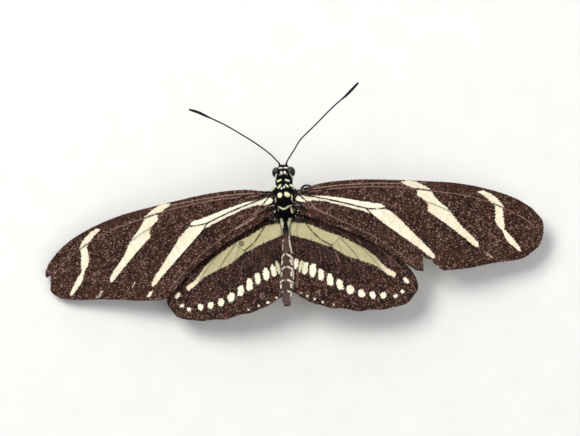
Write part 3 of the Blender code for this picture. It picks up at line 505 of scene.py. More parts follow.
def make_piece(name, points, triangles, finish, replaced=(), marks=None, patches=None, smooth=True):
    """One mesh object from points in the body's frame, riding on the model and dressed."""
    world = to_world(points)
    triangles = outward(world - world.mean(0), np.asarray(triangles, np.int32))
    mesh = bpy.data.meshes.new(name)
    mesh.vertices.add(len(world))
    mesh.vertices.foreach_set("co", world.astype(np.float32).ravel())
    mesh.loops.add(triangles.size)
    mesh.loops.foreach_set("vertex_index", np.ascontiguousarray(triangles).ravel())
    mesh.polygons.add(len(triangles))
    mesh.polygons.foreach_set("loop_start", np.arange(0, triangles.size, 3, dtype=np.int32))
    mesh.polygons.foreach_set("use_smooth", np.full(len(triangles), smooth))
    mesh.update(calc_edges=True)
    for key, values in (marks or {}).items():
        layer = mesh.attributes.new(key, "FLOAT", "POINT")
        layer.data.foreach_set("value", np.asarray(values, np.float32))
    if patches is not None:
        layer = mesh.uv_layers.new(name="OFBake")
        layer.data.foreach_set("uv", patches[triangles.ravel()].astype(np.float32).ravel())
    mesh.materials.append(finish)
    piece = bpy.data.objects.new(name, mesh)
    bpy.context.scene.collection.objects.link(piece)
    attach(piece, "root")
    if replaced:
        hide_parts(*replaced)
    return piece


def unit(vectors):
    return vectors / np.maximum(np.linalg.norm(vectors, axis=-1, keepdims=True), 1e-12)


# Shapes of the coat. Each point: across in widths, along in lengths, share of the lift, drop in mm
FLAT_SCALE = {
    "points": [(0.28, 0.0, 0.0, 0.03), (-0.28, 0.0, 0.0, 0.03), (-0.5, 0.7, 0.8, 0.0), (0.0, 1.0, 1.0, 0.0),
               (0.5, 0.7, 0.8, 0.0), (0.0, 0.45, 0.3, 0.03)],
    "triangles": [(1, 2, 4), (2, 3, 4), (1, 4, 0), (2, 1, 5), (3, 2, 5), (4, 3, 5), (0, 4, 5), (1, 0, 5)],
}
HAIR_TUFT = {
    "points": [(0.5, 0.0, 0.0, 0.04), (-0.5, 0.0, 0.0, 0.04), (0.0, 0.0, 0.0, 0.09), (0.42, 0.55, 0.6, 0.0),
               (-0.42, 0.55, 0.6, 0.0), (0.0, 0.55, 0.6, 0.03), (0.0, 1.0, 1.0, 0.0)],
    "triangles": [(1, 4, 3), (1, 3, 0), (2, 5, 4), (2, 4, 1), (0, 3, 5), (0, 5, 2), (1, 0, 2), (3, 4, 6),
                  (4, 5, 6), (5, 3, 6)],
}


def sow(shape, roots, along, normal, length, width, lift):
    """Points and triangles of one small shape set on many roots, in joined arrays."""
    form = np.array(shape["points"])
    along = unit(along - normal * (along * normal).sum(1, keepdims=True))
    across = np.cross(normal, along)
    a, l, up, drop = (form[:, column][None, :, None] for column in range(4))
    points = (roots[:, None] + across[:, None] * a * width[:, None, None]
              + along[:, None] * l * length[:, None, None]
              + normal[:, None] * (up * lift[:, None, None] - drop))
    count = len(form)
    triangles = (np.arange(len(roots)) * count)[:, None, None] + np.array(shape["triangles"])[None]
    return points.reshape(-1, 3), triangles.reshape(-1, 3)


def patch_map(shape, places):
    """Each small shape's own patch of the unwrap, at its root's place there."""
    form = np.array(shape["points"])[:, :2] - (0.0, 0.5)
    return (places[:, None] + form[None] * PATCH).reshape(-1, 2)


def make_coat(name, shape, finish, sown, marks, places, mirror=1.0):
    """A coat of one small shape, each with its own marks and its own patch of the unwrap."""
    points, triangles = sow(shape, *sown)
    marks = {key: np.repeat(values, len(shape["points"])) for key, values in marks.items()}
    make_piece(name, points * mirror, triangles, MATERIALS[finish], marks=marks,
               patches=patch_map(shape, places), smooth=False)


# Materials

class Nodes:
    """Short words for building one material's nodes."""

    def __init__(self, name):
        self.material = bpy.data.materials.new(name)
        self.material.use_nodes = True
        self.tree = self.material.node_tree
        self.shader = self.tree.nodes["Principled BSDF"]

    def add(self, kind, **inputs):
        node = self.tree.nodes.new("ShaderNode" + kind)
        for key, value in inputs.items():
            self.put(node, key, value)
        return node

    def put(self, node, key, value):
        socket = node.inputs[int(key[1:])] if key[0] == "i" and key[1:].isdigit() else node.inputs[key]
        if isinstance(value, bpy.types.NodeSocket):
            self.tree.links.new(value, socket)
        elif isinstance(value, tuple) and len(value) == 3 and socket.type == "RGBA":
            socket.default_value = (*value, 1.0)
        else:
            socket.default_value = value

    def mark(self, name):
        node = self.add("Attribute")
        node.attribute_type = "GEOMETRY"
        node.attribute_name = name
        return node.outputs["Fac"]

    def sum(self, kind, first, second):
        node = self.add("Math", i0=first, i1=second)
        node.operation = kind
        node.use_clamp = False
        return node.outputs[0]

    def grain(self, size, detail=3.0, roughness=0.6):
        """Noise with lumps of the given size in millimetres."""
        place = self.add("TexCoord").outputs["Object"]
        node = self.add("TexNoise", Vector=place, Scale=1.0 / (size * MM), Detail=detail, Roughness=roughness)
        return node.outputs["Fac"]

    def blend(self, share, first, second):
        node = self.add("Mix")
        node.data_type = "RGBA"
        node.clamp_factor = True
        self.put(node, "i0", share)
        self.put(node, "i6", first)
        self.put(node, "i7", second)
        return node.outputs[2]

    def stretch(self, value, low, high, to_low=0.0, to_high=1.0):
        node = self.add("MapRange")
        node.clamp = True
        for key, number in (("Value", value), ("From Min", low), ("From Max", high), ("To Min", to_low),
                            ("To Max", to_high)):
            self.put(node, key, number)
        return node.outputs["Result"]

    def finish(self, base, rough, bump=None, height=0.01, strength=0.4):
        self.put(self.shader, "Base Color", base)
        self.put(self.shader, "Roughness", rough)
        if bump is not None:
            node = self.add("Bump", Height=bump, Strength=strength, Distance=height * MM)
            self.put(self.shader, "Normal", node.outputs["Normal"])
        return self.material


def wing_material():
    """Brown-black scales with light specks, partly worn scales and partly painted glints, and pale, olive,
    warm and red scales where the marks say.
    """
    n = Nodes("wing_scales")
    tone = n.sum("ADD", n.mark("tone"), n.sum("MULTIPLY", n.sum("SUBTRACT", n.grain(0.5), 0.5), 0.5))
    brown = n.blend(n.stretch(tone, -0.8, 1.0), colour(10, 4, 2), colour(82, 51, 38))
    # Light specks: partly worn scales, partly painted glints
    brown = n.blend(n.mark("speck_and_glint"), brown, colour(190, 152, 138))
    white = n.blend(n.stretch(tone, -1.2, 1.0), colour(218, 205, 174), colour(250, 244, 222))
    olive = n.blend(n.stretch(tone, -2.4, 2.4), colour(168, 158, 114), colour(212, 205, 164))
    pale = n.blend(n.mark("olive"), white, olive)
    pale = n.blend(n.mark("warm"), pale, colour(238, 190, 135))
    base = n.blend(n.mark("pale"), brown, pale)
    base = n.blend(n.mark("red"), base, colour(186, 70, 68))
    base = n.blend(n.mark("ink"), base, colour(14, 6, 4))
    rough = n.stretch(n.grain(0.3), 0.3, 0.7, 0.5, 0.75)
    n.shader.inputs["Specular IOR Level"].default_value = 0.10
    n.shader.inputs["Sheen Weight"].default_value = 0.01
    n.shader.inputs["Sheen Roughness"].default_value = 0.45
    return n.finish(base, rough, n.grain(0.045, 2.0), 0.012, 0.5)


def body_material(name, rough_low, rough_high):
    """Black fur and scales, mauve-brown on the abdomen, with yellow, white, grey and pale marks."""
    n = Nodes(name)
    tone = n.sum("ADD", n.mark("tone"), n.sum("MULTIPLY", n.sum("SUBTRACT", n.grain(0.25), 0.5), 0.6))
    black = n.blend(n.stretch(tone, -0.6, 1.0), colour(0, 0, 0), colour(10, 10, 12))
    # The rare highest tones turn bluish grey: painted highlights on the black fur
    black = n.blend(n.stretch(tone, 1.0, 1.5), black, colour(58, 60, 66))
    mauve = n.blend(n.stretch(tone, -0.9, 1.0), colour(54, 36, 31), colour(104, 80, 72))
    lilac = n.blend(n.stretch(tone, -0.9, 1.0), colour(82, 62, 60), colour(128, 104, 102))
    base = n.blend(n.mark("mauve"), black, n.blend(n.mark("lilac"), mauve, lilac))
    base = n.blend(n.mark("pale"), base, colour(210, 208, 180))
    base = n.blend(n.mark("grey"), base, colour(166, 152, 150))
    yellow = n.blend(n.stretch(tone, -0.9, 1.0), colour(232, 232, 186), colour(255, 255, 226))
    base = n.blend(n.mark("yellow"), base, yellow)
    cream = n.blend(n.stretch(tone, -0.9, 1.0), colour(238, 222, 198), colour(255, 248, 232))
    base = n.blend(n.mark("cream"), base, cream)
    base = n.blend(n.mark("white"), base, colour(248, 248, 240))
    rough = n.stretch(n.grain(0.2), 0.3, 0.7, rough_low, rough_high)
    n.shader.inputs["Specular IOR Level"].default_value = 0.10
    return n.finish(base, rough, n.grain(0.05, 2.0), 0.012, 0.5)


def eye_material():
    """Dark, glossy, with fine facets and a faint mauve painted sheen, lighter towards the inner front."""
    n = Nodes("eye_facets")
    place = n.add("TexCoord").outputs["Object"]
    cells = n.add("TexVoronoi", Vector=place, Scale=1.0 / (0.045 * MM))
    dark = n.blend(n.stretch(n.grain(0.5, 4.0), 0.38, 0.66), colour(2, 2, 2), colour(12, 11, 11))
    eye_sheen = n.blend(n.stretch(n.grain(0.25, 4.0), 0.36, 0.66), colour(26, 23, 25), colour(66, 60, 62))
    base = n.blend(n.mark("eye_sheen"), dark, eye_sheen)
    facet = n.stretch(cells.outputs["Distance"], 0.0, 0.7, 1.0, 0.0)
    n.shader.inputs["Specular IOR Level"].default_value = 0.3
    n.shader.inputs["Coat Weight"].default_value = 0.06
    n.shader.inputs["Coat Roughness"].default_value = 0.12
    return n.finish(base, n.stretch(n.grain(0.3), 0.3, 0.7, 0.22, 0.36), facet, 0.006, 0.35)


def limb_material(name, dark, light, size):
    """Black, satin, finely scaled, with a lighter dust."""
    n = Nodes(name)
    base = n.blend(n.stretch(n.grain(size), 0.35, 0.75), dark, light)
    n.shader.inputs["Specular IOR Level"].default_value = 0.2
    return n.finish(base, n.stretch(n.grain(size * 2), 0.3, 0.7, 0.4, 0.65), n.grain(0.05), 0.01, 0.5)


MATERIALS = {
    "wing": wing_material(),
    "skin": body_material("body_skin", 0.45, 0.65),
    "fur": body_material("body_fur", 0.5, 0.72),
    "eye": eye_material(),
    "limb": limb_material("limb_cuticle", colour(2, 2, 3), colour(18, 16, 16), 0.12),
    "tongue": limb_material("tongue_cuticle", colour(30, 22, 18), colour(74, 56, 44), 0.2),
}


# Wings

def fore_outline(name):
    leading = smooth_line(FORE_LEADING, EDGE_STEP)
    worn = straight_line([FORE_LEADING[-1], *FORE_TIP[name], *FORE_OUTER, *FORE_CORNER[name], FORE_HIND[0]],
                         EDGE_STEP)[1:-1]
    if name == "right":
        tip = smooth_line([FORE_LEADING[-1], *FORE_TIP[name], *FORE_OUTER, FORE_CORNER[name][0]], EDGE_STEP)
        torn = straight_line([*FORE_CORNER[name], FORE_HIND[0]], EDGE_STEP)[:-1]
        worn = np.concatenate([tip[1:-1], torn])
    worn = worn + TORN * np.stack([noise(worn[:, 0] * 9, worn[:, 1] * 9, 2.0, seed) for seed in (11, 12)], 1)
    hind = smooth_line(FORE_HIND, EDGE_STEP)
    return np.concatenate([leading, worn, hind, straight_line(FORE_ROOT, EDGE_STEP)])


class Wing:
    """One wing: its outline, its veins, and the curved surface that they lie on."""

    def __init__(self, kind, name):
        self.kind = kind
        self.name = name
        self.side = SIDES[name]
        self.mirror = (self.side, 1.0, 1.0)
        self.seed = 10 * (kind == "fore") + 2 * (name == "left")
        turn = math.radians(SWEEP[kind][name])
        self.turn = (math.cos(turn), math.sin(turn))
        self.back = (math.cos(turn), -math.sin(turn))
        self.node = kind + "wing_" + name
        names = {key: vein[name] if isinstance(vein, dict) else vein
                 for key, vein in (FORE_VEINS if kind == "fore" else HIND_VEINS).items()}
        if kind == "fore":
            self.outline = fore_outline(name)
            self.edge_vein = smooth_line(FORE_LEADING, 1.0)
        else:
            self.outline = self.hind_outline(np.array([vein[-1] for vein in names.values()]))
            self.edge_vein = smooth_line(HIND_LEADING, 1.0)
        self.veins = [smooth_line(vein, GRID_STEP) for vein in names.values()]
        coarse = [vein[::3] if len(vein) % 3 == 1 else np.concatenate([vein[::3], vein[-1:]])
                  for vein in self.veins]
        self.starts = np.concatenate([vein[:-1] for vein in coarse])
        self.ends = np.concatenate([vein[1:] for vein in coarse])
        looks = [VEIN_LOOKS[kind].get(vein, PLAIN_VEIN) for vein in names]
        self.looks = np.repeat(looks, [len(vein) - 1 for vein in coarse], axis=0)

    def place(self, u, v):
        """Body x, before any mirroring, and y of a place on the wing."""
        x, y = turned(np.stack([u, v], -1), *self.back).T
        return x + HINGE[0], y + HINGE[1]

    def own(self, x, y):
        """The wing's u and v of a place given by body x and y."""
        return turned(np.stack([x - HINGE[0], y - HINGE[1]], -1), *self.turn)

    def hind_outline(self, tips):
        """The margin dips between the veins' tips, runs in to the abdomen and along its side."""
        margin = smooth_line(HIND_LEADING + HIND_OUTER, EDGE_STEP)
        gap = np.linalg.norm(margin[:, None] - tips[None], axis=2).min(1)
        dip = SCALLOP * (ramp(gap, 0.2, 1.7) * ramp(margin[:, 1], -13.0, -15.5))[:, None]
        margin = margin - dip * unit(margin - np.asarray(HIND_FAN))
        x, y = self.place(margin[:, 0], margin[:, 1])
        margin = margin[(x > half_width(y) + self.side * lean(y) - 0.15) | (y > -4.0)]
        last = self.place(*margin[-1])[1]
        y = np.arange(last + 0.2, -4.2, EDGE_STEP)
        inner = self.own(half_width(y) + self.side * lean(y) - 0.2, y)
        root = self.own(*np.array(HIND_ROOT).T)
        return np.concatenate([margin, inner, root])

    def unwrap(self, roots):
        """Where the roots of scales lie in the unwrap."""
        return roots / (SPAN[self.kind] + 4.0) + (0.05, 0.6 if self.kind == "fore" else 0.9)

    def vein_at(self, points):
        """How far the nearest vein is, its half width, how far out it is, and its look."""
        away, piece = distance(points, self.starts, self.ends)
        reach = np.clip(np.linalg.norm(points, axis=1) / SPAN[self.kind], 0.0, 1.0)
        wide = VEIN_WIDE[0] + (VEIN_WIDE[1] - VEIN_WIDE[0]) * reach
        return away, wide, reach, self.looks[piece]

    def height(self, points, face):
        """Height of the upper or lower face over the wing's middle surface."""
        away, wide, reach, _ = self.vein_at(points)
        high = VEIN_HIGH[0] + (VEIN_HIGH[1] - VEIN_HIGH[0]) * reach
        ridge = high * np.clip(1.0 - (away / wide) ** 2, 0.0, 1.0)
        edge, _ = distance(points, self.edge_vein[:-1], self.edge_vein[1:])
        ridge = np.maximum(ridge, 0.07 * np.clip(1.0 - (edge / 0.3) ** 2, 0.0, 1.0))
        sag = -FIELD_SAG * ramp(away, 0.0, FIELD_WIDE)
        ripple = RIPPLE * noise(points[:, 0], points[:, 1], 2.6, 21)
        return face * (HALF_MEMBRANE + ridge * (1.0 if face > 0 else 0.7)) + sag + ripple

    def middle(self, x):
        out = x - HINGE[0]
        return HINGE[2] + RAISE[self.kind] - math.tan(DROOP[self.name]) * out - BEND * out * out

    def surface(self, points, height):
        """Body-frame places at a height over the middle surface, for the wing as on the right."""
        x, y = self.place(points[:, 0], points[:, 1])
        return np.stack([x, y, self.middle(x) + height], -1)

    def tangents(self, points, headings):
        """Directions in space of headings on the wing, and the surface's normals."""
        x, _ = self.place(points[:, 0], points[:, 1])
        slope = -math.tan(DROOP[self.name]) - 2 * BEND * (x - HINGE[0])
        p, q = turned(headings, *self.back).T
        along = unit(np.stack([p, q, slope * p], -1))
        normal = unit(np.stack([-slope, np.zeros_like(slope), np.ones_like(slope)], -1))
        return along, normal


def in_marks(points, marks, ragged=0.06):
    """Which places lie in any of the outlines, whose edges wander by a scale or so."""
    shift = np.stack([noise(points[:, 0], points[:, 1], 0.22, seed) for seed in (31, 32)], 1)
    moved = points + ragged * shift
    found = np.zeros(len(points), bool)
    for mark in marks:
        found |= inside(moved, np.asarray(mark, float))
    return found


def radial(points, centre):
    """Angle and distance of each place about a centre."""
    away = points - np.asarray(centre)
    return np.arctan2(away[:, 1], away[:, 0]), np.linalg.norm(away, axis=1)


def spot_share(points, spot):
    """Distance from the middle of an oval spot, 1 on its rim. The oval's height points at the fan."""
    u, v, wide, high = spot
    axis = unit(np.array([u, v]) - np.asarray(HIND_FAN))
    offset = points - (u, v)
    along = offset @ axis
    across = offset @ np.array([-axis[1], axis[0]])
    return (np.abs(along / (high / 2)) ** 2.4 + np.abs(across / (wide / 2)) ** 2.4) ** (1 / 2.4)


def with_dots(share, points, dots, wobble):
    """The share, raised to 1 in round dots whose rims wobble."""
    for u, v, half in dots:
        share = np.maximum(share, np.hypot(points[:, 0] - u, points[:, 1] - v) < half * (1 + wobble))
    return share


def with_bars(share, points, bars, wander):
    """The share, raised on straight bars to how light each of them is."""
    for start, end, half, light in bars:
        share = np.maximum(share, light * (bar_distance(points, start, end) < half + wander))
    return share


def glow(points, u, v, spread):
    """A soft spot, 1 at its middle."""
    return np.exp(-((points[:, 0] - u) ** 2 + (points[:, 1] - v) ** 2) / spread)


def fore_ground(wing, points, below, lumps):
    """What a forewing shows under its veins, each by name."""
    u, v = points[:, 0], points[:, 1]
    outlines = []
    for key, mark in FORE_MARKS.items():
        mark = np.array(mark) + (BAND_3_SHIFT[wing.name] if key == "band_3" else 0.0)
        mark[:, 1] *= np.where((mark[:, 1] < 0.0) & (key != "crumb"), MARK_REACH[wing.name], 1.0)
        outlines.append(mark)
    pale = in_marks(points, outlines).astype(float)
    rings = [straight_line([*mark, mark[0]], 0.5) for mark in outlines]
    rim, _ = distance(points, np.concatenate([ring[:-1] for ring in rings]),
                      np.concatenate([ring[1:] for ring in rings]))
    tints = [strength * glow(points, *spot) for *spot, strength in FORE_WARM]
    warm = tints[0] * ramp(rim, 0.6, 0.1) + tints[1] + tints[2]
    warm = warm + 0.08 * ramp(lumps, 0.0, 0.8) + 0.2 * np.exp(-(rim / 0.09) ** 2)
    ink = 0.35 * np.exp(-(rim / 0.16) ** 2) * (1.0 - pale)
    bright = pale * (0.3 + 0.7 * ramp(u, 17.0, 14.0))
    glint_lines = np.zeros(len(points))
    if not below:
        pale = with_dots(pale, points, FORE_FLECKS[wing.name], 0.3 * lumps)
        # painted glints on fine lines
        glint_lines = with_bars(glint_lines, points, FORE_GLINT_LINES[wing.name], 0.05 * (1 + lumps))
        dark_u, dark_v, wide, high = FORE_DARK
        shade = np.exp(-((u - dark_u) / wide) ** 2 - ((v - dark_v) / high) ** 2)
        ink = np.maximum(ink, 0.7 * shade * (1.0 - pale))
        for start, end, half in FORE_SCUFFS[wing.name]:
            scuff = bar_distance(points, start, end) < half * (1 + 0.5 * lumps)
            pale = np.maximum(pale, 0.7 * scuff * ramp(noise(u, v, 0.25, 36), -0.4, 0.4))
        for start, end, half in FORE_INK:
            ink = np.maximum(ink, ramp(bar_distance(points, start, end), half + 0.05, half - 0.03))
    ink = np.maximum(ink, 0.75 * ramp(u, 2.4, 0.2) * (1.0 - pale))
    return {"pale": pale, "olive": np.zeros(len(points)), "warm": warm, "ink": ink, "glint_lines": glint_lines,
            "bright": bright, "smooth": ramp(v, 2.9 + 0.03 * u, 3.7 + 0.03 * u),
            # painted sheen: the hind edge near the root is lighter where it curves over
            "painted_sheen": ramp(v + 2.6 + 0.28 * u, 0.0, -0.8) * ramp(u, 14.0, 5.0),
            "streaks": 0.0, "glints": 0.0, "light": FORE_LIGHT}


def hind_ground(wing, points, below, lumps):
    """What a hindwing shows under its veins, each by name."""
    u, v = points[:, 0], points[:, 1]
    angle, away = radial(points, HIND_FAN)
    band = in_marks(points, [HIND_BAND]).astype(float)
    wander = 0.16 * noise(u, v, 0.2, 33) + 0.08 * noise(u, v, 0.1, 35)
    spots = np.zeros(len(points))
    for spot in HIND_SPOTS + INNER_SPOTS[wing.name]:
        spots = np.maximum(spots, spot_share(points, spot) + wander < 0.94)
    spots = with_dots(spots, points, HIND_DOTS[wing.name], 0.2 * lumps)
    pale = np.maximum(band, spots)
    olive = band * (1.0 - 0.9 * ramp(u, 15.5, 18.5)) + 0.06 * spots
    spot_u, spot_v = YELLOW_SPOT[wing.name]
    yellow = ramp((u - spot_u) ** 2 + 0.15 * (v - spot_v) ** 2, 0.3, 0.2)
    olive = np.maximum(olive, 0.7 * spots * yellow)
    streaks = noise(angle * 75.0, away * 0.35, 1.0, 34)
    warm = band * (0.14 * ramp(u, 16.5, 18.5) + 0.08 * ramp(u, 18.0, 19.5))
    warm = warm + 0.10 * band * ramp(streaks, 0.3, 0.9)
    glints = 0.45 * ramp(noise(angle * 90.0, away * 0.3, 1.0, 47), 0.55, 0.9)
    ink = 0.6 * ramp(u, 1.6, 0.2) * (1.0 - pale)
    glint_lines = np.zeros(len(points))
    if not below:
        x, y = wing.place(u, v)
        from_abdomen = x - half_width(y) - wing.side * lean(y)
        # Painted shadow of the abdomen on the hindwing, in a strip along its side
        ink = np.maximum(ink, 0.55 * ramp(from_abdomen, 0.45, 0.2) * ramp(y, -7.5, -6.5))
        # painted highlights along thin folds
        glint_lines = with_bars(glint_lines, points, HIND_FOLD_GLINTS[wing.name], 0.04 * lumps) * (1.0 - pale)
        if wing.name == "left":
            ring_u, ring_v, radius, half = HIND_RING
            ring = np.abs(np.hypot(u - ring_u, v - ring_v) - radius)
            ink = np.maximum(ink, 0.8 * ramp(ring, half + 0.05, half - 0.05))
        else:
            # painted shade along the fold beside the abdomen
            start, end, half = HIND_FOLD_SHADE
            to_fold_shade = bar_distance(points, start, end)
            ink = np.maximum(ink, 0.25 * ramp(to_fold_shade, half + 0.08, half - 0.03))
    return {"pale": pale, "olive": olive, "warm": warm, "ink": ink, "glint_lines": glint_lines,
            "bright": 0.9 * spots + 0.5 * band * ramp(u, 16.5, 18.5),
            "smooth": np.exp(-(bar_distance(points, *HIND_FRONT) / 1.5) ** 2), "painted_sheen": 0.0,
            "streaks": streaks, "glints": glints * ramp(noise(u, v, 1.1, 48), 0.1, 0.6),
            "light": 0.32 + 0.38 * ramp(away, 12.0, 19.0)}


def wing_marks(wing, points, below, rng=None):
    """The marks that colour a wing at each place: pale, olive, warm, red, ink, light specks with their
    painted glints, and tone.
    """
    count = len(points)
    u, v = points[:, 0], points[:, 1]
    lumps = noise(u, v, 0.3, 41)
    ground = (fore_ground if wing.kind == "fore" else hind_ground)(wing, points, below, lumps)
    pale, olive, smooth, painted_sheen = (ground[key] for key in ("pale", "olive", "smooth", "painted_sheen"))
    line, wide, _, look = wing.vein_at(points)
    core = np.clip(1.25 - line / (wide * 0.6), 0.0, 1.0)
    crisp = ramp(line, 0.15, 0.08)
    fine = ramp(line, wide * 0.6, wide * 0.25)
    ink = np.maximum(ground["ink"], np.where(pale > 0.5, crisp * look[:, 0], core * look[:, 1]))
    reds = RED_BELOW[wing.kind] if below else RED_ABOVE.get(wing.node, [])
    red = with_dots(np.zeros(count), points, reds, 0.25 * lumps)
    tone = 0.25 * noise(u, v, 0.8, 43) + 0.6 * noise(u, v, 0.34, 49)
    tone = tone * (1.0 - 0.5 * smooth) + 0.28 * noise(u, v, 1.4, 42)
    tone = tone + 0.5 * ground["streaks"] + ground["bright"]
    tone = tone + 0.5 * fine * look[:, 2] * (pale < 0.5)
    speck_and_glint = np.maximum(0.6 * fine * look[:, 2], ground["glint_lines"])
    if rng is not None:
        tone = tone + rng.normal(0.0, TONE_SPREAD, count) * (1.0 - 0.6 * pale)
        # Light specks in clumps and single scales: partly worn scales, partly painted glints
        worms = np.clip(1.0 - np.abs(noise(u, v, 0.36, 44)) / 0.22, 0.0, 1.0)
        worms = worms * ramp(noise(u, v, 0.6, 45) + 0.4 * noise(u, v, 3.0, 46), 0.0, 0.7)
        dots = (rng.random(count) < LIGHT_SHARE) * rng.uniform(0.4, 1.0, count)
        fill = np.maximum(worms * rng.uniform(0.1, 0.9, count), dots)
        fill = fill * ground["light"] * (1.0 - 0.75 * smooth) * (1.0 - 0.8 * painted_sheen)
        speck_and_glint = np.maximum(np.maximum(speck_and_glint, fill), ground["glints"])
    # A hindwing's brown is a little darker, and darker again at its smooth front: painted shadow of the
    # forewing's edge
    if wing.kind == "hind":
        tone = tone - (0.2 + 0.25 * smooth) * (1.0 - pale)
    else:
        # Painted sheen lightens the forewing's hind edge near its root.
        tone = tone + 0.10 * smooth + 0.35 * painted_sheen
    warm = ground["warm"]
    if below:
        tone = tone + 0.35
        olive = olive * 0.5
        ink = ink * 0.6
    return {"pale": pale, "olive": olive, "warm": warm, "red": red, "ink": ink, "speck_and_glint": speck_and_glint, "tone": tone}


def make_membrane(wing):
    """The thin sheet under the scales, with the veins raised in its own two faces."""
    ring = wing.outline
    ring_next = np.roll(ring, -1, axis=0)
    points = [ring]
    lines = []
    count = len(ring)
    for vein in wing.veins:
        headings = unit(np.gradient(vein, axis=0))
        sideways = np.stack([-headings[:, 1], headings[:, 0]], 1)
        _, wide, *_ = wing.vein_at(vein)
        for shift in (0.0, 1.0, -1.0):
            row = vein + sideways * (shift * wide)[:, None]
            keep = inside(row, ring) & (distance(row, ring, ring_next)[0] > 0.12)
            last = None
            for index in np.flatnonzero(keep):
                points.append(row[index:index + 1])
                if last is not None and index == last + 1:
                    lines.append((count - 1, count))
                last = index
                count += 1
    low, high = ring.min(0), ring.max(0)
    across, up = np.meshgrid(np.arange(low[0], high[0], GRID_STEP),
                             np.arange(low[1], high[1], GRID_STEP * 0.87))
    across[1::2] += GRID_STEP / 2
    grid = np.stack([across.ravel(), up.ravel()], 1)
    grid = grid[inside(grid, ring)]
    away, wide, *_ = wing.vein_at(grid)
    grid = grid[(distance(grid, ring, ring_next)[0] > 0.15) & (away > wide + 0.1)]
    points = np.concatenate([*points, grid])
    flat, _, triangles, *_ = delaunay_2d_cdt([Vector(p) for p in points.tolist()], lines,
                                             [list(range(len(ring)))], 1, 0.0005)
    flat = np.array([tuple(spot) for spot in flat])
    faces = np.array([list(face) for face in triangles])
    size = len(flat)
    directed = np.concatenate([faces[:, [0, 1]], faces[:, [1, 2]], faces[:, [2, 0]]])
    code = directed[:, 0] * size + directed[:, 1]
    border = directed[~np.isin(code, directed[:, 1] * size + directed[:, 0])]
    walls = np.concatenate([np.stack([border[:, 0] + size, border[:, 1] + size, border[:, 1]], 1),
                            np.stack([border[:, 0] + size, border[:, 1], border[:, 0]], 1)])
    triangles = np.concatenate([faces, faces[:, ::-1] + size, walls])
    top, bottom = (wing.surface(flat, wing.height(flat, face)) for face in (1, -1))
    upper, lower = wing_marks(wing, flat, False), wing_marks(wing, flat, True)
    marks = {key: np.concatenate([upper[key], lower[key]]) for key in upper}
    make_piece("membrane_" + wing.node, np.concatenate([top, bottom]) * wing.mirror, triangles,
               MATERIALS["wing"], replaced=[wing.node], marks=marks)


def scale_roots(wing, rows, rng):
    """Roots in staggered rows on arcs about the wing's base, and the way each scale points."""
    row_step, gap = rows
    centre = np.array(FAN[wing.kind])
    reach = np.linalg.norm(wing.outline - centre, axis=1).max()
    made = []
    for number, radius in enumerate(np.arange(0.4, reach, row_step)):
        angles = np.arange(math.radians(-150.0), math.radians(50.0), gap / radius)
        angles = angles + (number % 2) * gap / radius / 2
        angles = angles + rng.uniform(-0.2, 0.2, len(angles)) * gap / radius
        length = radius + rng.uniform(-0.25, 0.25, len(angles)) * row_step
        made.append(centre + np.stack([length * np.cos(angles), length * np.sin(angles)], 1))
    roots = np.concatenate(made)
    headings = unit(roots - centre)
    turn = rng.normal(0.0, 0.13, len(roots))
    headings = turned(headings, np.cos(turn), np.sin(turn))
    keep = inside(roots, wing.outline) & inside(roots + headings * row_step * 0.9, wing.outline)
    return roots[keep], headings[keep]


def make_scales(wing, face):
    """One face's coat: overlapping scales that point outward, their free ends a little raised."""
    below = face < 0
    rng = np.random.default_rng(100 + wing.seed + below)
    rows = ROWS_BELOW if below else ROWS_TOP
    roots, headings = scale_roots(wing, rows, rng)
    along, normal = wing.tangents(roots, headings)
    base = wing.surface(roots, wing.height(roots, face))
    count = len(roots)
    length = rows[0] * SCALE_LENGTH * rng.uniform(0.82, 1.15, count)
    width = rows[1] * SCALE_WIDTH * rng.uniform(0.85, 1.12, count)
    lift = rng.uniform(0.04, 0.085, count)
    marks = wing_marks(wing, roots + headings * (length * 0.6)[:, None], below, rng)
    lift = lift + 0.05 * marks["speck_and_glint"] * rng.random(count)
    name = "scales_{}_{}".format("below" if below else "top", wing.node)
    make_coat(name, FLAT_SCALE, "wing", (base, along, normal * face, length, width, lift), marks,
              wing.unwrap(roots), wing.mirror)


def make_fringe(wing):
    """Short scales that stand out from the margin, in the plane of the wing."""
    rng = np.random.default_rng(200 + wing.seed)
    ring = wing.outline
    if wing.kind == "fore":
        margin = ring[ring[:, 0] > 3.0]
    else:
        margin = ring[(ring[:, 0] > 3.4) & (ring[:, 1] < -3.0)]
    run = run_along(margin)
    places = np.arange(0.0, run[-1], 0.075)
    roots = np.stack([np.interp(places, run, margin[:, axis]) for axis in (0, 1)], 1)
    heading = unit(np.gradient(roots, axis=0))
    away = np.stack([-heading[:, 1], heading[:, 0]], 1)
    outside = ~inside(roots + away * 0.08, ring)
    away = np.where(outside[:, None], away, -away)
    roots = roots - away * 0.05
    away = unit(away + heading * rng.normal(0.0, 0.22, (len(roots), 1)))
    along, normal = wing.tangents(roots, away)
    count = len(roots)
    length = rng.uniform(0.12, 0.22, count)
    base = wing.surface(roots, wing.height(roots, 1) - HALF_MEMBRANE)
    marks = wing_marks(wing, roots, False, rng)
    marks["pale"] = marks["pale"] * 0.3
    lift = rng.uniform(-0.02, 0.03, count)
    make_coat("fringe_" + wing.node, FLAT_SCALE, "wing",
              (base, along, normal, length, np.full(count, 0.09), lift), marks, wing.unwrap(roots),
              wing.mirror)


# Body

def skin_sizes():
    """The skin's sizes at close steps along the body, smoothed through the stations."""
    line = smooth_line(SKIN, SKIN_STEP / 2)
    return line[np.argsort(line[:, 0])]


SKIN_LINE = skin_sizes()


def half_width(y):
    return np.interp(y, SKIN_LINE[:, 0], SKIN_LINE[:, 1])


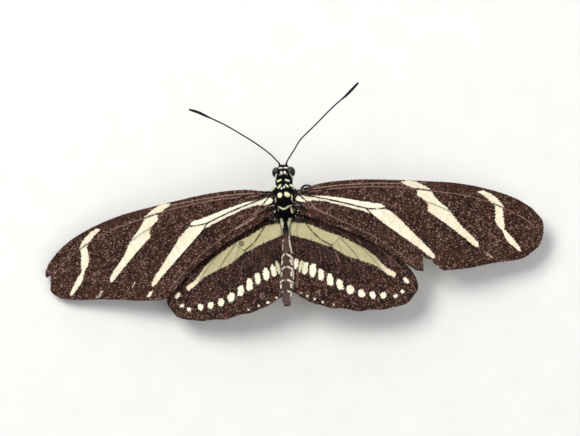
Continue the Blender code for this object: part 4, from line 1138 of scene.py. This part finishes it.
def lean(y):
    """Sideways place of the abdomen's middle line, eased between the places given."""
    places = smooth_line(ABDOMEN_LEAN, 0.2)
    return np.interp(y, places[:, 0], places[:, 1])


def joint_swell(y):
    """Each segment of the abdomen ends a little prouder than the next one starts."""
    y = np.asarray(y, float)
    edges = np.array(sorted(JOINTS))
    after = np.clip(np.searchsorted(edges, y), 1, len(edges) - 1)
    share = (edges[after] - y) / (edges[after] - edges[after - 1])
    swell = JOINT_STEP * (ramp(share, 0.0, 0.22) - 1.0) + 0.02 * ramp(share, 0.5, 0.95)
    return np.where((y < JOINTS[1]) & (y > JOINTS[-1]), swell, 0.0)


def skin_point(y, angle):
    """A place on the skin. The angle runs from straight right, over the back, to the left."""
    y = np.asarray(y, float)
    half, back, belly = (np.interp(y, SKIN_LINE[:, 0], SKIN_LINE[:, column]) for column in (1, 2, 3))
    swell = joint_swell(y)
    power = 2.0 / np.interp(y, (-5.0, -3.5, 3.2, 4.0, 4.6), (2.0, 2.25, 2.25, 3.0, 2.4))
    across, up = np.cos(angle), np.sin(angle)
    x = (half + swell) * np.sign(across) * np.abs(across) ** power + lean(y)
    high = np.where(up > 0, back, belly) + swell
    run = np.minimum(y - ABDOMEN_START, 0.0)
    z = high * np.sign(up) * np.abs(up) ** power - ABDOMEN_SAG * run * run
    return np.stack([x, y * np.ones_like(x), z], -1)


def skin_frame(y, angle):
    """Places, normals and tailward directions on the skin."""
    step = 0.02
    here = skin_point(y, angle)
    tail = unit(skin_point(y - step, angle) - skin_point(y + step, angle))
    turn = unit(skin_point(y, angle + step) - skin_point(y, angle - step))
    return here, unit(np.cross(tail, turn)), tail


def body_marks(points, angle, rng=None):
    """The marks that colour the body at each place."""
    count = len(points)
    x, y = points[:, 0], points[:, 1]
    flat = np.stack([x - lean(y), y], 1)
    made = {key: np.zeros(count) for key in ("yellow", "cream", "white", "grey", "pale")}
    above = np.sin(angle) > -0.15
    for name, start, end, half in BODY_MARKS:
        away = bar_distance(flat, start, end)
        made[name] = np.maximum(made[name], ramp(away, half + 0.04, half - 0.04) * above)
    under = np.degrees(np.abs(np.arctan2(np.cos(angle), -np.sin(angle))))
    for place, middle, half, spread in FLANK_MARKS:
        share = ((y - place) / half) ** 2 + ((under - middle) / spread) ** 2
        made["yellow"] = np.maximum(made["yellow"], ramp(share, 1.2, 0.8))
    belly = ramp(under, BELLY_STRIPE + 4.0, BELLY_STRIPE - 4.0)
    belly = belly * ramp(y, -5.0, -6.0) * ramp(y, -18.6, -18.0)
    made["pale"] = np.maximum(made["pale"], belly)
    made["mauve"] = ramp(y, -5.6, -7.5) * ramp(y, -18.98, -18.84)
    made["lilac"] = ramp(y, -16.0, -18.4)
    tone = 0.4 * noise(x + 9.0, y + 30.0, 0.5, 51)
    if rng is not None:
        tone = tone + rng.normal(0.0, 0.45, count)
    made["tone"] = tone
    return made


def ring_mesh(rings):
    """Triangles that join rings of points into one closed mesh with fan ends."""
    count, sides, _ = rings.shape
    points = np.concatenate([rings.reshape(-1, 3), rings[0].mean(0)[None], rings[-1].mean(0)[None]])
    row, side = np.meshgrid(np.arange(count - 1), np.arange(sides), indexing="ij")
    here = (row * sides + side).ravel()
    beside = (row * sides + (side + 1) % sides).ravel()
    triangles = [np.stack([here, beside, beside + sides], 1),
                 np.stack([here, beside + sides, here + sides], 1)]
    first, last = count * sides, count * sides + 1
    rim = np.arange(sides)
    end = (count - 1) * sides
    triangles.append(np.stack([rim * 0 + first, (rim + 1) % sides, rim], 1))
    triangles.append(np.stack([rim * 0 + last, end + rim, end + (rim + 1) % sides], 1))
    return points, np.concatenate(triangles)


def make_skin():
    """One skin for head, thorax and abdomen."""
    y = np.arange(SKIN[-1][0], SKIN[0][0], SKIN_STEP)
    angle = np.arange(SKIN_SIDES) / SKIN_SIDES * 2 * math.pi
    rings = skin_point(y[:, None] * np.ones(SKIN_SIDES), np.ones((len(y), 1)) * angle)
    points, triangles = ring_mesh(rings)
    angles = np.concatenate([np.tile(angle, len(y)), [math.pi / 2, math.pi / 2]])
    make_piece("body_skin", points, triangles, MATERIALS["skin"],
               replaced=["head", "thorax", "abdomen"], marks=body_marks(points, angles))


def body_roots(first, last, row_step, gap, rng):
    """Roots in staggered rings round the body between two places along it."""
    made = []
    for number, y in enumerate(np.arange(first, last, row_step)):
        ring = skin_point(np.full(64, y), np.arange(64) / 64 * 2 * math.pi)
        around = np.linalg.norm(np.diff(ring, axis=0, append=ring[:1]), axis=1).sum()
        count = max(6, int(around / gap))
        steps = np.arange(count) + 0.5 * (number % 2) + rng.uniform(-0.3, 0.3, count)
        angle = steps / count * 2 * math.pi
        made.append(np.stack([y + rng.uniform(-0.35, 0.35, count) * row_step, angle], 1))
    return np.concatenate(made).T


def coat_places(y, angle):
    """Where roots round the body lie in the unwrap."""
    around = (angle % (2 * math.pi)) / (2 * math.pi)
    return np.stack([0.05 + 0.9 * (y + 19.0) / 25.0, 0.05 + 0.9 * around], 1)


def make_fur():
    """Short tufts that lie back over the head and thorax, longer low on the flanks and under."""
    rng = np.random.default_rng(301)
    y, angle = body_roots(-5.0, 5.55, 0.115, 0.10, rng)
    here, normal, tail = skin_frame(y, angle)
    in_eye = ((np.abs(here[:, 0]) - EYE_CENTRE[0]) / EYE_RADII[0]) ** 2
    in_eye = in_eye + ((here[:, 1] - EYE_CENTRE[1]) / EYE_RADII[1]) ** 2
    in_eye = in_eye + ((here[:, 2] - EYE_CENTRE[2]) / EYE_RADII[2]) ** 2
    keep = in_eye > 1.05
    y, angle, here, normal, tail = y[keep], angle[keep], here[keep], normal[keep], tail[keep]
    count = len(y)
    low = ramp(np.sin(angle), 0.55, -0.35)
    brow = (y > 5.15) & (np.sin(angle) > 0.1)
    length = np.where(brow, 0.42, 0.24 + 0.22 * low) * rng.uniform(0.8, 1.25, count)
    lift = (0.05 + 0.10 * low) * rng.uniform(0.6, 1.5, count)
    side = np.cross(normal, tail)
    along = unit(np.where(brow, -1.0, 1.0)[:, None] * tail + side * rng.normal(0.0, 0.22, (count, 1)))
    marks = body_marks(here + along * (length * 0.55)[:, None], angle, rng)
    make_coat("fur_head_thorax", HAIR_TUFT, "fur",
              (here, along, normal, length, np.full(count, 0.085), lift), marks, coat_places(y, angle))


def make_root_hair(wing):
    """Loose hairs that lie outward over a wing's root, black with some grey-white ones."""
    rng = np.random.default_rng(500 + wing.seed)
    count = 340 if wing.kind == "fore" else 220
    reach = rng.random(count) ** 1.6
    if wing.kind == "fore":
        roots = np.stack([-0.3 + 2.6 * reach, rng.uniform(-2.7, 0.75, count)], 1)
    else:
        roots = np.stack([0.1 + 2.4 * reach, rng.uniform(-5.0, -2.3, count)], 1)
    streak = (wing.kind == "fore") & (roots[:, 0] > 0.3) & (np.abs(roots[:, 1] + 0.8) < 0.75)
    keep = inside(roots, wing.outline) & ~streak
    roots, reach = roots[keep], reach[keep]
    count = len(roots)
    inner = (-2.2, -0.8 if wing.kind == "fore" else -3.0)
    headings = unit(roots - inner + rng.normal(0.0, 0.45, (count, 2)))
    along, normal = wing.tangents(roots, headings)
    base = wing.surface(roots, wing.height(roots, 1) + 0.03)
    light = (rng.random(count) < 0.09) * rng.uniform(0.5, 1.0, count)
    length = rng.uniform(0.3, 0.8, count) * (1.1 - 0.5 * reach)
    width = rng.uniform(0.05, 0.09, count)
    lift = rng.uniform(0.06, 0.24, count)
    marks = {key: np.zeros(count) for key in BODY_KEYS}
    marks.update(grey=light, white=light * 0.6, tone=rng.normal(0.2, 0.5, count))
    make_coat("root_hair_" + wing.node, HAIR_TUFT, "fur", (base, along, normal, length, width, lift),
              marks, roots / 12.0 + (0.1, 0.6), wing.mirror)


def make_shoulder(name):
    """A furry pad over the root of the forewing."""
    side = SIDES[name]
    rng = np.random.default_rng(521 + side)
    rows, sides = 14, 20
    turn = (np.arange(rows) + 0.5) / rows * math.pi
    angle = np.arange(sides) / sides * 2 * math.pi
    ball = np.stack([np.sin(turn)[:, None] * np.cos(angle), np.cos(turn)[:, None] * np.ones(sides),
                     np.sin(turn)[:, None] * np.sin(angle)], -1)
    points, triangles = ring_mesh(SHOULDER_CENTRE + ball * SHOULDER_RADII)
    flat = {key: np.zeros(len(points)) for key in BODY_KEYS}
    mirror = np.array([side, 1.0, 1.0])
    make_piece("shoulder_" + name, points * mirror, triangles, MATERIALS["skin"], marks=flat)
    count = 420
    normal = unit(rng.normal(0.0, 1.0, (count, 3)))
    normal = normal[normal[:, 2] > -0.3]
    roots = SHOULDER_CENTRE + normal * SHOULDER_RADII
    normal = unit(normal / SHOULDER_RADII)
    count = len(roots)
    along = np.array([0.45, -1.0, 0.0]) + rng.normal(0.0, 0.2, (count, 3))
    length = rng.uniform(0.25, 0.42, count)
    lift = rng.uniform(0.04, 0.10, count)
    marks = body_marks(roots * mirror, np.full(count, math.pi / 2), rng)
    places = 0.1 + 0.8 * np.stack([(roots[:, 1] + 1.0) / 4.0, (normal[:, 0] + 1.0) / 2.0], 1)
    make_coat("shoulder_fur_" + name, HAIR_TUFT, "fur",
              (roots, along, normal, length, np.full(count, 0.08), lift), marks, places, mirror)


def make_abdomen_scales():
    """Short scales that lie back over the abdomen."""
    rng = np.random.default_rng(302)
    y, angle = body_roots(-18.85, -4.7, 0.125, 0.115, rng)
    here, normal, tail = skin_frame(y, angle)
    count = len(y)
    length = 0.21 * rng.uniform(0.85, 1.15, count)
    along = unit(tail + np.cross(normal, tail) * rng.normal(0.0, 0.12, (count, 1)))
    marks = body_marks(here + along * (length * 0.6)[:, None], angle, rng)
    width = 0.15 * rng.uniform(0.85, 1.1, count)
    lift = rng.uniform(0.03, 0.06, count)
    make_coat("scales_abdomen", FLAT_SCALE, "fur", (here, along, normal, length, width, lift),
              marks, coat_places(y, angle))


def tube(path, radii, sides):
    """Rings of points about a path given in the body's frame."""
    path = np.asarray(path, float)
    along = unit(np.gradient(path, axis=0))
    across = np.array([1.0, 0.0, 0.0]) if abs(along[0, 0]) < 0.9 else np.array([0.0, 1.0, 0.0])
    angle = np.arange(sides) / sides * 2 * math.pi
    rings = []
    for place, heading, radius in zip(path, along, radii):
        across = unit(across - heading * across.dot(heading))
        up = np.cross(heading, across)
        rings.append(place + radius * (np.cos(angle)[:, None] * across + np.sin(angle)[:, None] * up))
    return np.array(rings)


def run_along(path):
    return np.concatenate([[0.0], np.cumsum(np.linalg.norm(np.diff(path, axis=0), axis=1))])


def along_corners(path, corners, values):
    """Values given at a path's corners, spread over its close points."""
    corners = np.asarray(corners, float)
    nearest = [int(np.linalg.norm(path - corner, axis=1).argmin()) for corner in corners]
    run = run_along(path)
    return np.interp(run, run[nearest], values)


def join(parts):
    """Several closed meshes as one pair of arrays."""
    points, triangles, count = [], [], 0
    for part_points, part_triangles in parts:
        points.append(part_points)
        triangles.append(part_triangles + count)
        count += len(part_points)
    return np.concatenate(points), np.concatenate(triangles)


def make_eye(name):
    side = SIDES[name]
    rows, sides = 36, 56
    turn = (np.arange(rows) + 0.5) / rows * math.pi
    angle = np.arange(sides) / sides * 2 * math.pi
    x = EYE_CENTRE[0] + EYE_RADII[0] * np.cos(turn)[:, None] * np.ones(sides)
    y = EYE_CENTRE[1] + EYE_RADII[1] * np.sin(turn)[:, None] * np.cos(angle)
    z = EYE_CENTRE[2] + EYE_RADII[2] * np.sin(turn)[:, None] * np.sin(angle)
    points, triangles = ring_mesh(np.stack([side * x, y, z], -1))
    inward = (EYE_CENTRE[0] - side * points[:, 0]) / EYE_RADII[0]
    ahead = (points[:, 1] - EYE_CENTRE[1]) / EYE_RADII[1]
    # Painted sheen, lighter towards the eye's inner front
    eye_sheen = ramp(0.7 * inward + 0.9 * ahead, -0.55, 0.35)
    make_piece("compound_eye_" + name, points, triangles, MATERIALS["eye"], replaced=["eye_" + name],
               marks={"eye_sheen": eye_sheen})


def make_antenna(name):
    """A thin ringed shaft on a stout first segment, thickening to a long club."""
    path = smooth_line(ANTENNA[name], 0.06)
    run = run_along(path)
    share = run / run[-1]
    club = np.clip((share - CLUB_START) / (1.0 - CLUB_START), 0.0, 1.0)
    swell = np.sin(math.pi * np.minimum(club ** 0.9 * 0.86, 1.0)) ** 1.3
    radii = ANTENNA_SHAFT + (ANTENNA_CLUB - ANTENNA_SHAFT) * swell
    radii = radii * (1.0 + 0.07 * np.cos(2 * math.pi * run / ANTENNA_RING))
    radii = radii + 0.03 * ramp(run, 1.05, 0.75)
    radii[-4:] *= (0.85, 0.7, 0.5, 0.25)
    points, triangles = ring_mesh(tube(path, radii, 14))
    make_piece("feeler_" + name, points, triangles, MATERIALS["limb"], replaced=["antenna_" + name])


def cone_tufts(path, radii, spacing, length, lean, rng, sides=5):
    """Bristles in rings round a limb, leaning towards its far end."""
    run = run_along(path)
    heading = unit(np.gradient(path, axis=0))
    places = np.arange(spacing, run[-1] - spacing * 0.5, spacing)
    roots, along, normal = [], [], []
    for place in places:
        spot = np.array([np.interp(place, run, path[:, axis]) for axis in range(3)])
        ahead = unit(np.array([np.interp(place, run, heading[:, axis]) for axis in range(3)]))
        radius = np.interp(place, run, radii)
        side = unit(np.cross(ahead, (0.3, 0.2, 1.0)))
        up = np.cross(ahead, side)
        start = rng.uniform(0.0, 2 * math.pi)
        for step in range(sides):
            angle = start + 2 * math.pi * step / sides + rng.uniform(-0.3, 0.3)
            out = math.cos(angle) * side + math.sin(angle) * up
            roots.append(spot + out * radius * 0.9)
            along.append(unit(ahead + out * lean))
            normal.append(out)
    roots, along, normal = np.array(roots), np.array(along), np.array(normal)
    normal = unit(normal - along * (normal * along).sum(1, keepdims=True))
    count = len(roots)
    return sow(HAIR_TUFT, roots, along, normal, length * rng.uniform(0.7, 1.2, count),
               np.full(count, 0.05), np.full(count, 0.02))


def make_leg(node, corners, radii, side, standing, seed):
    """Thigh, shin and a foot of five short joints, bristled, with a pair of claws."""
    rng = np.random.default_rng(seed)
    corners = np.asarray(corners, float)
    path = smooth_line(corners, 0.1)
    thick = along_corners(path, corners, radii)
    run = run_along(path)
    knots = along_corners(path, corners, np.arange(len(corners)))
    foot = np.clip(knots - (len(corners) - 4), 0.0, 1.0) if standing else np.zeros(len(path))
    thick = thick * (1.0 + 0.16 * foot * np.cos(2 * math.pi * run / 0.7))
    mirror = np.array([side, 1.0, 1.0])
    parts = [ring_mesh(tube(path * mirror, thick, 12))]
    parts.append(cone_tufts(path * mirror, thick, 0.22, 0.20, 0.35, rng))
    if standing:
        ahead = unit(path[-1] - path[-4])
        sideways = unit(np.cross(ahead, (0.0, 0.0, 1.0)))
        for turn in (-1.0, 1.0):
            claw = [path[-3], path[-1] + ahead * 0.12 + sideways * turn * 0.06,
                    path[-1] + ahead * 0.24 + sideways * turn * 0.13 + (0.0, 0.0, -0.03)]
            claw = smooth_line(claw, 0.03)
            parts.append(ring_mesh(tube(claw * mirror, np.linspace(0.04, 0.008, len(claw)), 6)))
    points, triangles = join(parts)
    make_piece("limb_" + node, on_floor(points), triangles, MATERIALS["limb"], replaced=[node])


def on_floor(points):
    """Whatever would dip into the floor is pressed flat on it."""
    world = to_world(points) / MM - (ORIGIN[0], ORIGIN[1], 0.0)
    world[:, 2] = np.maximum(world[:, 2], 0.0)
    return to_body(world)


def foot_corners(upper, foot):
    """The leg's corners in the body's frame, its foot points read from the floor."""
    return np.concatenate([np.array(upper), to_body(foot)])


def make_legs(name):
    side = SIDES[name]
    make_leg("leg_fore_" + name, LEG_FORE, LEG_FORE_RADII, side, False, 401 + side)
    middle = foot_corners(LEG_MIDDLE[name], LEG_MIDDLE_FOOT[name])
    make_leg("leg_middle_" + name, middle, LEG_RADII, side, True, 411 + side)
    make_leg("leg_hind_" + name, foot_corners(LEG_HIND, LEG_HIND_FOOT), LEG_RADII, side, True, 421 + side)


def make_palp(name):
    """A three-jointed feeler of the mouth, furry, curving up before the face."""
    side = SIDES[name]
    rng = np.random.default_rng(431 + side)
    path = smooth_line(PALP, 0.08)
    radii = along_corners(path, PALP, PALP_RADII)
    mirror = np.array([side, 1.0, 1.0])
    parts = [ring_mesh(tube(path * mirror, radii, 12)),
             cone_tufts(path * mirror, radii, 0.09, 0.26, 0.35, rng, 9)]
    points, triangles = join(parts)
    make_piece("mouth_feeler_" + name, points, triangles, MATERIALS["limb"],
               replaced=["palp_" + name])


def make_tongue():
    """The tongue hangs from the mouth and rolls up in one flat coil."""
    steps = 150
    share = np.linspace(0.0, 1.0, steps)
    radius = TONGUE_COIL[0] + (TONGUE_COIL[1] - TONGUE_COIL[0]) * share
    angle = math.pi + TONGUE_TURN * share
    coil = np.stack([np.zeros(steps), TONGUE_CENTRE[0] + radius * np.cos(angle),
                     TONGUE_CENTRE[1] + radius * np.sin(angle)], 1)
    path = np.concatenate([straight_line(TONGUE_ROOT, 0.1)[:-1], coil])
    radii = np.interp(run_along(path), (0.0, run_along(path)[-1]), TONGUE_RADII)
    points, triangles = ring_mesh(tube(path, radii, 12))
    make_piece("tongue_coil", points, triangles, MATERIALS["tongue"], replaced=["proboscis"])


# Setting

def make_floor():
    mesh = bpy.data.meshes.new("floor")
    reach = 2.0
    mesh.from_pydata([(-reach, -reach, 0), (reach, -reach, 0), (reach, reach, 0), (-reach, reach, 0)], [],
                     [(0, 1, 2, 3)])
    n = Nodes("floor_paper")
    base = n.blend(n.stretch(n.grain(6.0), 0.3, 0.7), colour(226, 225, 222), colour(230, 229, 226))
    mesh.materials.append(n.finish(base, 0.9))
    floor = bpy.data.objects.new("floor", mesh)
    bpy.context.scene.collection.objects.link(floor)


def make_light(name, place, size, power):
    """A soft square lamp that faces the body."""
    data = bpy.data.lights.new(name, "AREA")
    data.size = size
    data.energy = power
    lamp = bpy.data.objects.new(name, data)
    lamp.location = place
    lamp.rotation_mode = "QUATERNION"
    lamp.rotation_quaternion = (-Vector(place)).to_track_quat("-Z", "Y")
    bpy.context.scene.collection.objects.link(lamp)


def make_setting():
    make_floor()
    make_light("key", (-0.25, 0.30, 0.60), 0.40, 4.7)
    make_light("fill", (0.40, -0.25, 0.55), 0.60, 2.15)
    make_light("rim", (0.05, 0.70, 0.25), 0.40, 1.0)
    world = bpy.data.worlds.new("studio")
    world.use_nodes = True
    world.node_tree.nodes["Background"].inputs["Color"].default_value = (0.95, 0.97, 1.0, 1.0)
    world.node_tree.nodes["Background"].inputs["Strength"].default_value = 0.27
    bpy.context.scene.world = world
    bpy.context.scene.view_settings.view_transform = "Standard"


def make_camera():
    """The photo's view: from above, a little to the right and the rear."""
    back = Vector((math.tan(CAMERA_RIGHT), -math.tan(CAMERA_REAR), 1.0)).normalized()
    up = Vector((0.0, 1.0, 0.0))
    up = (up - back * up.dot(back)).normalized()
    across = up.cross(back)
    turn = Matrix.Rotation(CAMERA_ROLL, 3, back)
    across, up = turn @ across, turn @ up
    distance_mm = MM_PER_PIXEL * PHOTO_WIDTH * CAMERA_LENS / SENSOR
    place = Vector(ORIGIN) + back * distance_mm
    place += across * ((PHOTO_MIDDLE[0] - BODY_PIXEL[0]) * MM_PER_PIXEL)
    place += up * ((BODY_PIXEL[1] - PHOTO_MIDDLE[1]) * MM_PER_PIXEL)
    data = bpy.data.cameras.new("camera")
    data.lens = CAMERA_LENS
    data.sensor_width = SENSOR
    data.clip_start = 0.01
    data.clip_end = 10.0
    camera = bpy.data.objects.new("camera", data)
    bpy.context.scene.collection.objects.link(camera)
    camera.matrix_world = Matrix((across, up, back)).transposed().to_4x4()
    camera.location = place * MM
    bpy.context.scene.camera = camera


make_setting()
make_camera()
make_skin()
make_fur()
make_abdomen_scales()
make_tongue()
for side_name in SIDES:
    make_eye(side_name)
    make_antenna(side_name)
    make_palp(side_name)
    make_legs(side_name)
    make_shoulder(side_name)
    for wing_kind in ("fore", "hind"):
        dressed = Wing(wing_kind, side_name)
        make_membrane(dressed)
        make_scales(dressed, 1)
        make_scales(dressed, -1)
        make_fringe(dressed)
        make_root_hair(dressed)
